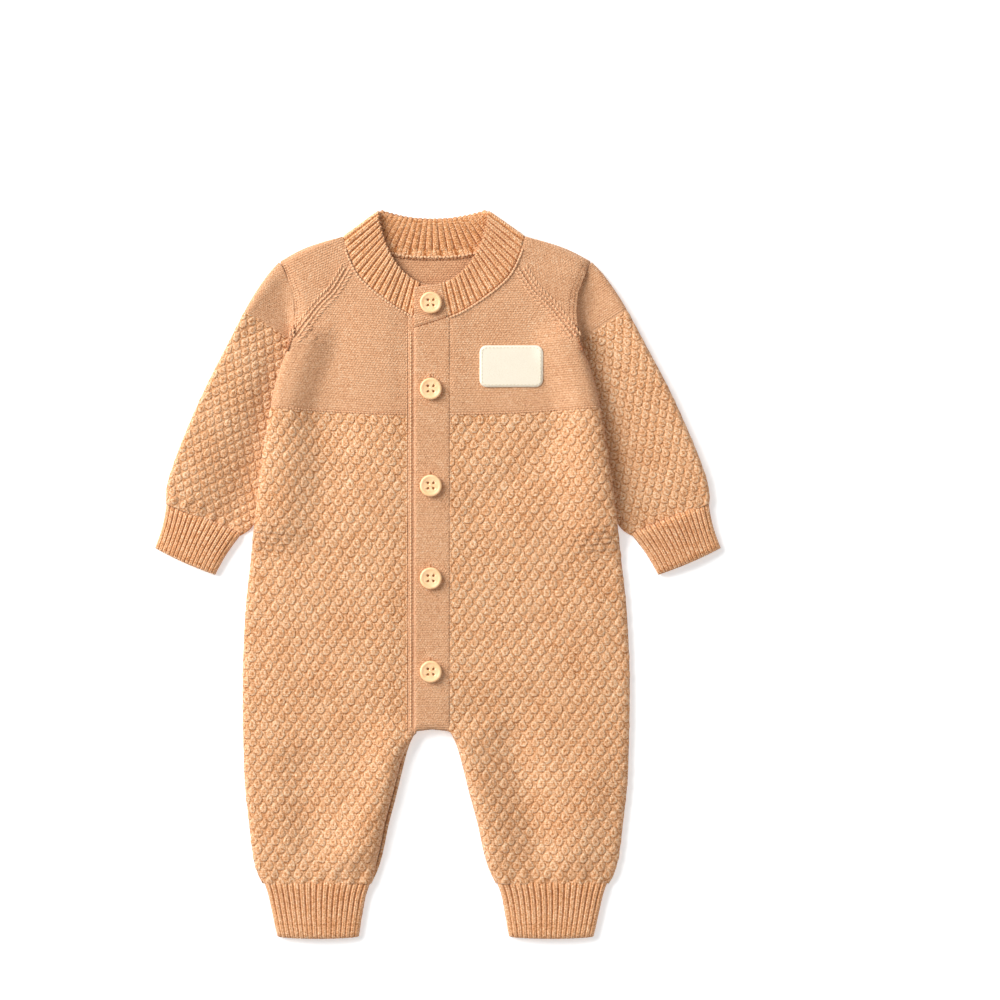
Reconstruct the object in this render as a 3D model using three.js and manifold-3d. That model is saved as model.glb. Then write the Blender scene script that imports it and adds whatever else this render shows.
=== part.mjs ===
// A long-sleeved knitted baby romper, buttoned down the front and laid flat on its back.
// Millimetres. +Z is up from the surface it lies on, +Y points from the legs to the collar,
// +X is the wearer's left. The origin is under the middle of its outline, on that surface.
// Each knitted piece is a wall of cloth of its own, and the pieces lie a hair apart at the seams.
import * as THREE from "three";
import { mergeVertices } from "three/addons/utils/BufferGeometryUtils.js";
import Module from "manifold-3d";

// Driving dimensions
const HALF_SPAN = 196; // from the middle to the end of a sleeve
const MIDDLE_SHIFT = -3.8; // the middle of the cloth lies this far to one side of the outline's middle
const WALL = { body: 2.3, sleeve: 2.05, rib: 2.2, band: 2.2, collar: 2.3, patch: 1 };
const SEAM = 0.36; // clearance between two pieces at a seam
const LOFT = 8; // height of the two body layers where they lie on the floor
const EDGE_LOSS = 1.3; // how much flatter the layers lie at a folded side
const ROLL = 4.2; // how far a folded side takes to round over, seen from above
const TUCK = { height: 4.7, lift: 5.3, plateau: 10, fade: 34 }; // the sleeve's flat inner side under the body
const RIB = { depth: 0.8, sleeve: 16, leg: 18 };
const BAND = { left: -12.9, right: 11.3, underLeft: -17.4, underRight: 9.4 };
const BAND_RISE = { over: 0.6, under: -1.95, overFade: 30, underFade: 33 }; // the bands against the fronts
const BUTTON = { radius: 7.6, height: 2.9, hole: 0.85, holeSpread: 1.85, x: -1, sides: 16 };
const BUTTON_HEIGHTS = [188, 128.5, 61.5, -2.5, -67];
const BUTTONHOLE = { length: 17.5, width: 1.3, rise: 0.9 };
const PATCH = { x: 53.5, y: 144, halfWidth: 21.5, halfHeight: 14.5, corner: 5 };
const SHOULDER_ROLL = 10; // the shoulders round over more softly than the sides
const HEM = -214; // where the leg meets its cuff
const ANKLE = -252;

// Outlines of the half that lies at +X: how far out (x) each edge is at a height (y)
const SHOULDER = [
  { y: 234, x: 63 },
  { y: 230, x: 78 },
  { y: 225, x: 92 },
  { y: 216.5, x: 108 },
];
const ARMHOLE = [
  { y: 216.5, x: 108 },
  { y: 212, x: 105 },
  { y: 201, x: 100.5 },
  { y: 194, x: 98 },
  { y: 182, x: 97 },
  { y: 171, x: 97.7 },
  { y: 162.5, x: 99.3 },
  { y: 154, x: 102.5 },
  { y: 147, x: 106 },
];
const SIDE = [
  { y: 147, x: 106 },
  { y: 128, x: 111.5 },
  { y: 99, x: 117 },
  { y: 58, x: 123 },
  { y: 14, x: 127.8 },
  { y: -30, x: 132.3 },
  { y: -76, x: 134 },
  { y: -134, x: 133 },
  { y: -172, x: 129.5 },
  { y: -198, x: 126 },
  { y: -208, x: 123 },
  { y: HEM, x: 119.8 },
];
const INSEAM = [
  { y: -107, x: 0 },
  { y: -108.5, x: 11.4 },
  { y: -113, x: 14 },
  { y: -118.5, x: 16.5 },
  { y: -134, x: 20.8 },
  { y: -153.5, x: 25.6 },
  { y: -173, x: 30.8 },
  { y: -192, x: 34.8 },
  { y: -203, x: 38 },
  { y: HEM, x: 43 },
];
const RAGLAN = [
  { y: 217, x: 57.2 },
  { y: 207.5, x: 63 },
  { y: 196, x: 70.5 },
  { y: 187, x: 79.5 },
  { y: 177, x: 87.5 },
  { y: 166, x: 95.5 },
  { y: 160, x: 100.2 },
];
const CUFF_OUTSIDE = [
  { y: HEM, x: 118.6 },
  { y: -221.5, x: 116.2 },
  { y: -231, x: 114 },
  { y: ANKLE, x: 109.5 },
];
const CUFF_INSIDE = [
  { y: HEM, x: 44 },
  { y: -221.5, x: 46.6 },
  { y: -231, x: 48.6 },
  { y: ANKLE, x: 52 },
];
// The collar's two edges on the front half, from the button end to the fold at the side of the neck
const NECK_FRONT = [
  [-12.9, 198.8],
  [0, 200.4],
  [8, 202],
  [17.3, 207],
  [26.4, 217],
  [32.6, 228.7],
  [36.5, 241],
  [38.2, 251.8],
];
const SEAM_FRONT = [
  [-12.9, 170.6],
  [0, 174.8],
  [10, 178],
  [20, 182.3],
  [32, 190],
  [43, 198.5],
  [52, 207.5],
  [58.5, 220],
  [63, 234],
];
// and on the back half, from that fold to the middle of the back
const NECK_BACK = [
  [38.2, 251.8],
  [25, 248.2],
  [12, 246],
  [0, 245.4],
];
const SEAM_BACK = [
  [63, 234],
  [42, 224.5],
  [20, 219.5],
  [0, 218.5],
];
// The sleeve's edges, from the armhole to the cuff seam, and the cuff's corners
const SLEEVE_OUTSIDE = [
  [108.4, 216.3],
  [117.8, 205.5],
  [130.6, 186],
  [146, 157],
  [161, 128],
  [174, 99],
  [182, 79],
  [187.4, 62],
  [188.3, 49],
];
const SLEEVE_INSIDE = [
  [99.9, 161],
  [101, 148],
  [104.5, 128],
  [108.5, 106],
  [113, 79],
  [117.5, 58],
  [122, 43],
  [128, 32],
  [135.6, 26.6],
];
const WRIST = { seamIn: [136.4, 26], seamOut: [188, 48.2], endIn: [153.3, -0.3], endOut: [196, 18.4] };

// Soft folds of the front: a line from one end to the other, its half-width, and how deep it is
const FOLDS = [
  { name: "inner roll of the right leg", x0: -24, y0: -114, x1: -60, y1: -205, width: 11, depth: -0.55 },
  { name: "hollow of the right leg", x0: -106, y0: -120, x1: -92, y1: -202, width: 17, depth: 0.6 },
  { name: "hollow of the left leg", x0: 36, y0: -112, x1: 64, y1: -196, width: 12, depth: 0.75 },
  { name: "outer roll of the left leg", x0: 104, y0: -140, x1: 88, y1: -204, width: 15, depth: -0.45 },
  { name: "hollow by the right arm", x0: -80, y0: 156, x1: -80, y1: 62, width: 14, depth: 0.6 },
  { name: "hollow under the yoke", x0: 26, y0: 101, x1: 74, y1: 92, width: 11, depth: 0.55 },
  { name: "pull from the left arm", x0: 92, y0: 116, x1: 40, y1: 58, width: 12, depth: 0.5 },
  { name: "right hip", x0: -126, y0: -36, x1: -76, y1: -62, width: 10, depth: 0.5 },
  { name: "left hip", x0: 126, y0: -58, x1: 72, y1: -36, width: 11, depth: 0.55 },
  { name: "right crotch pull", x0: -22, y0: -100, x1: -74, y1: -84, width: 9, depth: 0.5 },
  { name: "left crotch pull", x0: 18, y0: -98, x1: 70, y1: -88, width: 9, depth: 0.5 },
];

const smoothstep = (low, high, value) => THREE.MathUtils.smoothstep(value, low, high);
const lerp = THREE.MathUtils.lerp;
const middleAt = (x) => x + MIDDLE_SHIFT * (1 - Math.abs(x) / HALF_SPAN);

// A smooth function x(y) through a table's rows
function edge(table) {
  const rows = [...table].sort((a, b) => a.y - b.y);
  const slope = (i) => (rows[i + 1].x - rows[i].x) / (rows[i + 1].y - rows[i].y);
  const tangent = (i) => {
    if (i === 0) return slope(0);
    if (i === rows.length - 1) return slope(i - 1);
    const [before, after] = [slope(i - 1), slope(i)];
    return before * after <= 0 ? 0 : (2 * before * after) / (before + after);
  };
  return (y) => {
    const last = rows.length - 2;
    let i = 0;
    while (i < last && y > rows[i + 1].y) i += 1;
    const span = rows[i + 1].y - rows[i].y;
    const t = THREE.MathUtils.clamp((y - rows[i].y) / span, 0, 1);
    const [t2, t3] = [t * t, t * t * t];
    return (
      (2 * t3 - 3 * t2 + 1) * rows[i].x +
      (t3 - 2 * t2 + t) * span * tangent(i) +
      (3 * t2 - 2 * t3) * rows[i + 1].x +
      (t3 - t2) * span * tangent(i + 1)
    );
  };
}

// A smooth line through points, as a function of the share of its length
function line(points) {
  const curve = new THREE.CatmullRomCurve3(
    points.map(([x, y]) => new THREE.Vector3(x, y, 0)),
    false,
    "centripetal",
  );
  curve.arcLengthDivisions = 400;
  return (share) => {
    const p = curve.getPointAt(THREE.MathUtils.clamp(share, 0, 1));
    return [p.x, p.y];
  };
}

const asTable = (points) => points.map(([x, y]) => ({ x, y }));
const shoulderX = edge(SHOULDER);
const armholeX = edge(ARMHOLE);
const sideX = edge(SIDE);
const inseamX = edge(INSEAM);
const raglanX = edge(RAGLAN);
const collarSeamX = edge(asTable(SEAM_FRONT.slice(2)));
const backNeckX = edge(asTable(SEAM_BACK));
const [ARMPIT, SHOULDER_END, CROTCH, RAGLAN_END, COLLAR_END] = [147, 216.5, -107, 160, 178.4];
const bodyEdgeX = (y) => (y > ARMPIT ? armholeX(y) : sideX(y));

// How far a point lies inside the body's outer edge, and at what height the nearest bit of edge is
const EDGE_STEP = 5;
const EDGE_POINTS = [];
for (let y = SHOULDER_END; y > HEM; y -= EDGE_STEP) EDGE_POINTS.push([bodyEdgeX(y), y]);
function fromBodyEdge(x, y) {
  let nearest = { distance: Infinity, y: 0 };
  for (const [ex, ey] of EDGE_POINTS) {
    const distance = Math.hypot(Math.abs(x) - ex, y - ey);
    if (distance < nearest.distance) nearest = { distance, y: ey };
  }
  return nearest;
}

function foldDepth(x, y) {
  let sum = 0;
  for (const { x0, y0, x1, y1, width, depth } of FOLDS) {
    const [dx, dy] = [x1 - x0, y1 - y0];
    const t = THREE.MathUtils.clamp(((x - x0) * dx + (y - y0) * dy) / (dx * dx + dy * dy), 0, 1);
    const away = Math.hypot(x - x0 - t * dx, y - y0 - t * dy) / width;
    sum += depth * Math.exp(-away * away);
  }
  return sum;
}

// The body lies over the sleeve's flat inner side, from the armpit nearly to the wrist
function bodyLift(x, y) {
  const near = fromBodyEdge(x, y);
  const along = smoothstep(163, 181, near.y);
  const down = smoothstep(12, 38, near.y);
  return TUCK.lift * (1 - along) * down * (1 - smoothstep(TUCK.plateau, TUCK.fade, near.distance));
}

function frontLevel(x, y) {
  const flatter = EDGE_LOSS * (1 - smoothstep(0, 26, fromBodyEdge(x, y).distance));
  const nearHem = 0.9 * (1 - smoothstep(HEM, HEM + 26, y));
  return LOFT - flatter - nearHem + bodyLift(x, y) - foldDepth(x, y);
}

// The fronts meet the two bands at their own levels: one rises to the band that laps over, one sinks
function bandRise(x, side) {
  const { over, under, overFade, underFade } = BAND_RISE;
  return side > 0
    ? over * (1 - smoothstep(BAND.right, overFade, x))
    : under * (1 - smoothstep(-BAND.underLeft, underFade, x));
}

// A wall of cloth: a net of quads whose points each have an outer and an inner place
class Wall {
  constructor() {
    this.places = [];
    this.known = new Map();
    this.triangles = [];
  }

  point(place) {
    const key = place.outer.map((n) => n.toFixed(3)).join();
    if (!this.known.has(key)) {
      this.known.set(key, this.places.length);
      this.places.push(place);
    }
    return this.known.get(key);
  }

  net(rows, ring = false) {
    const ids = rows.map((row) => row.map((place) => this.point(place)));
    for (let j = 0; j + 1 < ids.length; j++) {
      const count = ids[j].length - (ring ? 0 : 1);
      for (let k = 0; k < count; k++) {
        const next = (k + 1) % ids[j].length;
        const [a, b, c, d] = [ids[j][k], ids[j][next], ids[j + 1][next], ids[j + 1][k]];
        for (const t of [[a, b, c], [a, c, d]]) if (new Set(t).size === 3) this.triangles.push(t);
      }
    }
    return this;
  }

  geometry() {
    const count = this.places.length;
    const used = new Set(this.triangles.flatMap(([a, b, c]) => [`${a},${b}`, `${b},${c}`, `${c},${a}`]));
    const faces = [];
    for (const [a, b, c] of this.triangles) {
      faces.push([a, b, c], [a + count, c + count, b + count]);
      for (const [from, to] of [[a, b], [b, c], [c, a]]) {
        if (used.has(`${to},${from}`)) continue;
        faces.push([to, from, from + count], [to, from + count, to + count]);
      }
    }
    const corners = [...this.places.map((p) => p.outer), ...this.places.map((p) => p.inner)];
    const places = corners.map(([x, y, z]) => [middleAt(x), y, z]);
    const volume = faces.reduce((sum, [a, b, c]) => {
      const [p, q, r] = [a, b, c].map((i) => new THREE.Vector3(...places[i]));
      return sum + p.dot(q.cross(r));
    }, 0);
    const index = volume < 0 ? faces.map(([a, b, c]) => [a, c, b]) : faces;
    return new THREE.BufferGeometry()
      .setAttribute("position", new THREE.Float32BufferAttribute(places.flat(), 3))
      .setIndex(index.flat());
  }
}

// One row across a layer of cloth. Where an edge is folded, the row rolls over to the level `seam`.
const QUARTER = [0, 45, 90].map(THREE.MathUtils.degToRad);
const spread = (count) => Array.from({ length: count }, (_, i) => (i + 1) / (count + 1));
function layerRow({ from, to, y, columns, foldFrom, foldTo, roll, level, seam, wall }) {
  const width = Math.abs(to - from);
  const way = Math.sign(to - from);
  const r = Math.min(roll, 0.42 * width);
  const inset = Math.min(Math.abs(wall), 0.6 * r);
  const stops = [
    ...QUARTER.map((q) => ({ s: r * (1 - Math.cos(q)), q, fold: foldFrom, inward: 1 })),
    ...spread(columns).map((f) => ({ s: r + f * (width - 2 * r), q: Math.PI / 2, fold: 0, inward: 0 })),
    ...[...QUARTER].reverse().map((q) => ({ s: width - r * (1 - Math.cos(q)), q, fold: foldTo, inward: -1 })),
  ];
  return stops.map(({ s, q, fold, inward }) => {
    const x = from + way * s;
    const inside = x + way * inward * fold * inset * Math.cos(q);
    const drop = fold * (1 - Math.sin(q));
    const z = level(x, y);
    const meet = seam(x, y);
    return { outer: [x, y, lerp(z, meet, drop)], inner: [inside, y, lerp(z - wall, meet, drop)] };
  });
}

const root = new THREE.Group();
function add(name, geometry, colour, roughness = 0.95) {
  const material = new THREE.MeshStandardMaterial({ color: colour, roughness, metalness: 0 });
  const mesh = new THREE.Mesh(geometry, material);
  mesh.name = name;
  root.add(mesh);
  return mesh;
}
const COLOUR = { knit: 0xe0a878, rib: 0xd9a06f, button: 0xf5dfa6, patch: 0xfbf6e3 };

// A front layer's seam level at a folded side is half way up the two layers there
const seamLevel = (x, y) => bodyLift(x, y) + (LOFT - EDGE_LOSS) / 2;
const frontFold = (y) => 1 - smoothstep(150, 163, y);
const shoulderFold = (y) => smoothstep(208, SHOULDER_END + 0.5, y);
const rollAt = (y) => lerp(ROLL, SHOULDER_ROLL, shoulderFold(y));
const steps = (from, to, count) => Array.from({ length: count + 1 }, (_, i) => lerp(from, to, i / count));

// The heights of the rows that the body's front and back share, from the armpit to the hems
const ARCH_ROWS = [-101, -107.6, -110, -114, -120, -129];
const BODY_ROWS = [ARMPIT, 131, 113, ...steps(96, 6, 6), ...steps(-10, -90, 4), ...ARCH_ROWS];
const LOWER_ROWS = [...BODY_ROWS, ...steps(-144, -206, 4), HEM + SEAM / 2];
const SHOULDER_ROWS = [233.2, 230, 226.5, 223, 220, 217.5];

function frontPanel(side) {
  const bandEdge = side > 0 ? BAND.right + SEAM / 2 : -BAND.underLeft + SEAM / 2;
  const neckRows = [215.6, 210, 203.5, 196.5, 190, 185, 181.5];
  const rows = [...neckRows, 176, 167, 158, ...LOWER_ROWS].map((y) => {
    const collar = y > COLLAR_END ? collarSeamX(y + SEAM) + SEAM : 0;
    const crotch = y < CROTCH ? inseamX(y) : 0;
    const inner = Math.max(bandEdge, collar, crotch);
    const outer = y > RAGLAN_END ? raglanX(y) - SEAM / 2 : bodyEdgeX(y) - (y > ARMPIT ? SEAM / 2 : 0);
    return layerRow({
      from: side * outer,
      to: side * inner,
      y,
      columns: 5,
      foldFrom: frontFold(y),
      foldTo: crotch >= bandEdge ? smoothstep(bandEdge, bandEdge + 5, crotch) : 0,
      roll: ROLL,
      level: (x) => frontLevel(x, y) + bandRise(Math.abs(x), side),
      seam: (x) => seamLevel(x, y),
      wall: WALL.body,
    });
  });
  return new Wall().net(rows).geometry();
}

// The back comes forward over each shoulder, down to the slanting seam of the front
function shoulderFlap(side) {
  return [...SHOULDER_ROWS, 213, 206, 197, 188, 179, 171, 163].map((y) => {
    const onShoulder = y > SHOULDER_END;
    const inner = onShoulder ? collarSeamX(y + SEAM) + SEAM : raglanX(y) + SEAM / 2;
    return layerRow({
      from: side * (onShoulder ? shoulderX(y) : armholeX(y) - SEAM / 2),
      to: side * inner,
      y,
      columns: 2,
      foldFrom: shoulderFold(y),
      foldTo: 0,
      roll: rollAt(y),
      level: (x) => frontLevel(x, y),
      seam: (x) => seamLevel(x, y),
      wall: WALL.body,
    });
  });
}

function backLayer(side) {
  return [...SHOULDER_ROWS, 213, 206, 198, 189, 180, 171, 163, 155, ...LOWER_ROWS].map((y) => {
    const neck = y > SEAM_BACK.at(-1)[1] ? backNeckX(y + 2 * SEAM) + SEAM : 0;
    const onShoulder = y > SHOULDER_END;
    const outer = onShoulder ? shoulderX(y) : bodyEdgeX(y) - (y > ARMPIT ? SEAM / 2 : 0);
    return layerRow({
      from: side * outer,
      to: side * (y < CROTCH ? inseamX(y) : neck),
      y,
      columns: 3,
      foldFrom: Math.max(shoulderFold(y), frontFold(y)),
      foldTo: y < CROTCH ? 1 : 0,
      roll: rollAt(y),
      level: (x) => bodyLift(x, y),
      seam: (x) => seamLevel(x, y) - (onShoulder ? 0 : SEAM),
      wall: -WALL.body,
    });
  });
}

function backPanel() {
  const wall = new Wall();
  const reverse = (rows) => rows.map((row) => [...row].reverse());
  wall.net(backLayer(1)).net(reverse(backLayer(-1)));
  wall.net(reverse(shoulderFlap(1))).net(shoulderFlap(-1));
  return wall.geometry();
}

// A flat tube of cloth on the floor. Each station gives the plan of its row, its width and its height.
const bottomStops = spread(3).reverse();
function flatTube(stations, { wall, roll, topStops }) {
  const rows = stations.map(({ plan, width, height, relief }) => {
    const r = Math.min(roll, 0.4 * width);
    const stop = (s, q, end, up, f) => {
      const u = s / width;
      const inward = end * wall * Math.cos(q);
      const [x, y] = plan(u);
      const [ix, iy] = plan((s + inward) / width);
      const high = height(u);
      const mid = high / 2;
      const outerHalf = up ? high - mid + relief(f) : -mid;
      const innerHalf = up ? high - mid - wall : wall - mid;
      return { outer: [x, y, mid + outerHalf * Math.sin(q)], inner: [ix, iy, mid + innerHalf * Math.sin(q)] };
    };
    const flat = (f, up) => stop(r + f * (width - 2 * r), Math.PI / 2, 0, up, f);
    const round = (q, end, up) => {
      const s = r * (1 - Math.cos(q));
      return stop(end > 0 ? s : width - s, q, end, up, -1);
    };
    return [
      ...QUARTER.map((q) => round(q, 1, true)),
      ...topStops.map((f) => flat(f, true)),
      ...[...QUARTER].reverse().map((q) => round(q, -1, true)),
      ...QUARTER.slice(1).map((q) => round(q, -1, false)),
      ...bottomStops.map((f) => flat(f, false)),
      ...[...QUARTER].reverse().slice(0, -1).map((q) => round(q, 1, false)),
    ];
  });
  return new Wall().net(rows, true).geometry();
}

const armholeLine = line([
  SLEEVE_INSIDE[0],
  ...ARMHOLE.filter(({ y }) => y > 163 && y < 215).reverse().map(({ x, y }) => [x + SEAM, y]),
  SLEEVE_OUTSIDE[0],
]);
const sleeveOutside = line(SLEEVE_OUTSIDE);
const sleeveInside = line(SLEEVE_INSIDE);
const between = (a, b, f) => [lerp(a[0], b[0], f), lerp(a[1], b[1], f)];
const apart = (a, b) => Math.hypot(a[0] - b[0], a[1] - b[1]);

// A point of the sleeve's outline filled in between its four edges
function sleevePlan(u, v) {
  const across = between(armholeLine(u), between(SLEEVE_INSIDE.at(-1), SLEEVE_OUTSIDE.at(-1), u), v);
  const along = between(sleeveInside(v), sleeveOutside(v), u);
  const straight = between(
    between(SLEEVE_INSIDE[0], SLEEVE_OUTSIDE[0], u),
    between(SLEEVE_INSIDE.at(-1), SLEEVE_OUTSIDE.at(-1), u),
    v,
  );
  return [across[0] + along[0] - straight[0], across[1] + along[1] - straight[1]];
}

const SLEEVE_LENGTH = 178;
const SLEEVE_LOFT = 7.6;
function sleeveHeight(u, v) {
  const [x, y] = sleevePlan(u, v);
  const away = v * SLEEVE_LENGTH;
  const hollow = lerp(0.35, 1, Math.max(smoothstep(8, 60, away), u * u));
  const rise = smoothstep(0.1, 0.52, u) * hollow;
  const own = lerp(TUCK.height, SLEEVE_LOFT, rise) - 1.1 * smoothstep(0.86, 1, v) * rise;
  const atSeam = lerp(TUCK.height, LOFT - 0.4, smoothstep(165, 182, y));
  return lerp(atSeam, own, smoothstep(3, 15, away));
}

function sleeve(side) {
  const shares = [0, 0.03, 0.07, 0.12, 0.19, 0.28, 0.38, 0.49, 0.6, 0.71, 0.82, 0.92, 1];
  const stations = shares.map((v) => ({
    plan: (u) => {
      const [x, y] = sleevePlan(THREE.MathUtils.clamp(u, 0, 1), v);
      return [side * x, y];
    },
    width: apart(sleevePlan(0, v), sleevePlan(1, v)),
    height: (u) => sleeveHeight(THREE.MathUtils.clamp(u, 0, 1), v),
    relief: () => 0,
  }));
  return flatTube(stations, { wall: WALL.sleeve, roll: 3.4, topStops: spread(5) });
}

// Ribs stand up from the cuff's plain level: even stops are ridges and odd ones the grooves between them
function ribStops(count) {
  const stops = spread(2 * count - 1);
  const ridge = new Set(stops.filter((_, i) => i % 2 === 0));
  return { stops, relief: (f) => (ridge.has(f) ? RIB.depth : 0) };
}

function sleeveCuff(side) {
  const { seamIn, seamOut, endIn, endOut } = WRIST;
  const ribs = ribStops(RIB.sleeve);
  const stations = [0, 0.08, 0.5, 0.94, 1].map((v) => {
    const [inner, outer] = [between(seamIn, endIn, v), between(seamOut, endOut, v)];
    const waist = 1.6 * Math.sin(Math.PI * v);
    return {
      plan: (u) => {
        const [x, y] = between(inner, outer, u);
        return [side * (x + waist * (1 - 2 * u) * 0.5), y];
      },
      width: apart(inner, outer),
      height: () => 6,
      relief: (f) => ribs.relief(f) * (v > 0.01 && v < 0.99 ? 1 : 0.35),
    };
  });
  return flatTube(stations, { wall: WALL.rib, roll: 3, topStops: ribs.stops });
}

function legCuff(side) {
  const [outsideX, insideX] = [edge(CUFF_OUTSIDE), edge(CUFF_INSIDE)];
  const ribs = ribStops(RIB.leg);
  const stations = [HEM - SEAM / 2, HEM - 3, -231, ANKLE + 1.5, ANKLE].map((y, i, all) => ({
    plan: (u) => [side * lerp(insideX(y), outsideX(y), u), y],
    width: outsideX(y) - insideX(y),
    height: () => lerp(6.4, 6, i / (all.length - 1)),
    relief: (f) => ribs.relief(f) * (i > 0 && i < all.length - 1 ? 1 : 0.35),
  }));
  return flatTube(stations, { wall: WALL.rib, roll: 3.2, topStops: ribs.stops });
}

// The two front bands, from the collar down to the arch between the legs
function frontBand({ left, right, columns, rows, topY, level, wall, endFold }) {
  const archY = (x) => {
    const found = steps(INSEAM[0].y, -124, 68).find((y) => inseamX(y) >= Math.abs(x));
    return found ?? -124;
  };
  const net = steps(0, 1, columns).map((f) => {
    const x = lerp(left, right, f);
    const [top, bottom] = [topY(x), archY(x) + 0.3];
    return [...steps(0, 1, rows).map((v) => ({ y: lerp(top, bottom + ROLL, v), q: Math.PI / 2 })),
      ...[...QUARTER].reverse().slice(1).map((q) => ({ y: bottom + ROLL * (1 - Math.cos(q)), q })),
    ].map(({ y, q }) => {
      const z = level(x, y);
      const drop = endFold * (1 - Math.sin(q));
      const seam = (LOFT - EDGE_LOSS) / 2;
      const back = y + endFold * wall * 0.6 * Math.cos(q);
      return { outer: [x, y, lerp(z, seam, drop)], inner: [x, back, lerp(z - wall, seam, drop)] };
    });
  });
  return new Wall().net(net).geometry();
}

const frontSeamY = (x) => {
  const points = SEAM_FRONT;
  const i = Math.max(1, points.findIndex(([px]) => px >= x));
  const [a, b] = [points[i - 1], points[i]];
  return lerp(a[1], b[1], (x - a[0]) / (b[0] - a[0]));
};

function underBand() {
  return frontBand({
    left: BAND.underLeft,
    right: BAND.underRight,
    columns: 3,
    rows: 12,
    topY: (x) => frontSeamY(-x) - SEAM,
    level: (x, y) => frontLevel(x, y) + BAND_RISE.under,
    wall: WALL.band - 0.2,
    endFold: 1,
  });
}

function buttonholeBand(wasm) {
  const band = frontBand({
    left: BAND.left,
    right: BAND.right - SEAM / 2,
    columns: 3,
    rows: 12,
    topY: (x) => frontSeamY(x) - SEAM,
    level: (x, y) => frontLevel(x, y) + BAND_RISE.over,
    wall: WALL.band,
    endFold: 0,
  });
  return BUTTON_HEIGHTS.slice(1).reduce((solid, y) => solid.subtract(slit(wasm, y)), asSolid(wasm, band));
}

// A buttonhole goes through the upper of two laps only
const BETWEEN_LAPS = LOFT + BAND_RISE.over - WALL.collar - 0.15;
function slit(wasm, y) {
  const { length, width, rise } = BUTTONHOLE;
  const shape = new THREE.Shape();
  const half = length / 2 - width / 2;
  shape.absarc(0, half, width / 2, 0, Math.PI, false);
  shape.absarc(0, -half, width / 2, Math.PI, 2 * Math.PI, false);
  const cutter = new THREE.ExtrudeGeometry(shape, { depth: LOFT, bevelEnabled: false, curveSegments: 2 });
  return asSolid(wasm, cutter.translate(middleAt(BUTTON.x), y + rise, BETWEEN_LAPS));
}

// The collar: a ribbed strip that starts under the button, folds at both sides of the neck and ends on top
const COLLAR = { fold: 3.4, frontLength: 104, backLength: 66, overRibs: 16, underRibs: 14, backRibs: 11 };
const LAP = { over: { start: 0, plain: 0.24 }, under: { start: 0.034, plain: 0.34 } };
function collar(wasm) {
  const [neckFront, seamFront] = [line(NECK_FRONT), line(SEAM_FRONT)];
  const [neckBack, seamBack] = [line(NECK_BACK), line(SEAM_BACK)];
  const acrossShares = [0, 0.08, 0.93, 1];
  const frontPlace = (share, v) => between(seamFront(share), neckFront(share), v);
  const backPlace = (share, v) => between(seamBack(share), neckBack(share), v);
  const topLevel = (x, y, side, v) => frontLevel(x, y) + bandRise(Math.max(x, BAND.right), side) - 0.4 * v;

  const frontColumn = (side, share, ridge) => acrossShares.map((v) => {
    const [x, y] = frontPlace(share, v);
    const z = topLevel(x, y, side, v);
    const relief = ridge && v > 0 && v < 1 ? RIB.depth : 0;
    return { outer: [side * x, y, z + relief], inner: [side * x, y, z - WALL.collar] };
  });
  const backColumn = (side, share, ridge) => acrossShares.map((v) => {
    const [x, y] = backPlace(share, v);
    const relief = ridge && v > 0 && v < 1 ? RIB.depth : 0;
    return { outer: [side * x, y, 0], inner: [side * x, y, WALL.collar + relief] };
  });
  // At the side of the neck the strip rolls over from the front to the back
  const foldColumns = (side) => [60, 0, -60].map((degrees) => {
    const q = THREE.MathUtils.degToRad(degrees);
    return acrossShares.map((v) => {
      const half = topLevel(...frontPlace(1, v), side, v) / 2;
      const place = (radius, height) => {
        const inward = COLLAR.fold - radius * Math.cos(q);
        const [x, y] = q < 0
          ? backPlace(inward / COLLAR.backLength, v)
          : frontPlace(1 - inward / COLLAR.frontLength, v);
        return [side * x, y, half + height * Math.sin(q)];
      };
      return { outer: place(COLLAR.fold, half), inner: place(COLLAR.fold - WALL.collar, half - WALL.collar) };
    });
  });
  const frontHalf = (side) => {
    const { start, plain } = side > 0 ? LAP.over : LAP.under;
    const ribs = side > 0 ? COLLAR.overRibs : COLLAR.underRibs;
    const end = 1 - COLLAR.fold / COLLAR.frontLength;
    return [
      ...steps(start, plain, 3).slice(0, -1).map((share) => frontColumn(side, share, false)),
      ...steps(plain, end, 2 * ribs).map((share, i) => frontColumn(side, share, i % 2 === 1)),
    ];
  };
  const backHalf = (side) => steps(COLLAR.fold / COLLAR.backLength, 1, 2 * COLLAR.backRibs)
    .map((share, i) => backColumn(side, share, i % 2 === 1));
  const columns = [
    ...frontHalf(-1),
    ...foldColumns(-1),
    ...backHalf(-1),
    ...backHalf(1).reverse().slice(1),
    ...foldColumns(1).reverse(),
    ...frontHalf(1).reverse(),
  ];
  const strip = new Wall().net(columns).geometry();
  return asSolid(wasm, strip).subtract(slit(wasm, BUTTON_HEIGHTS[0]));
}

// A closed geometry as a solid, and a solid as a geometry
function asSolid(wasm, geometry) {
  const bare = new THREE.BufferGeometry().setAttribute("position", geometry.getAttribute("position"));
  if (geometry.index) bare.setIndex(geometry.index);
  const merged = mergeVertices(bare, 1e-4);
  const mesh = new wasm.Mesh({
    numProp: 3,
    vertProperties: new Float32Array(merged.getAttribute("position").array),
    triVerts: new Uint32Array(merged.index.array),
  });
  return new wasm.Manifold(mesh);
}

function asGeometry(solid) {
  const mesh = solid.getMesh();
  const places = [];
  for (let i = 0; i < mesh.numVert; i++) {
    places.push(...mesh.vertProperties.subarray(i * mesh.numProp, i * mesh.numProp + 3));
  }
  return new THREE.BufferGeometry()
    .setAttribute("position", new THREE.Float32BufferAttribute(places, 3))
    .setIndex([...mesh.triVerts]);
}

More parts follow.
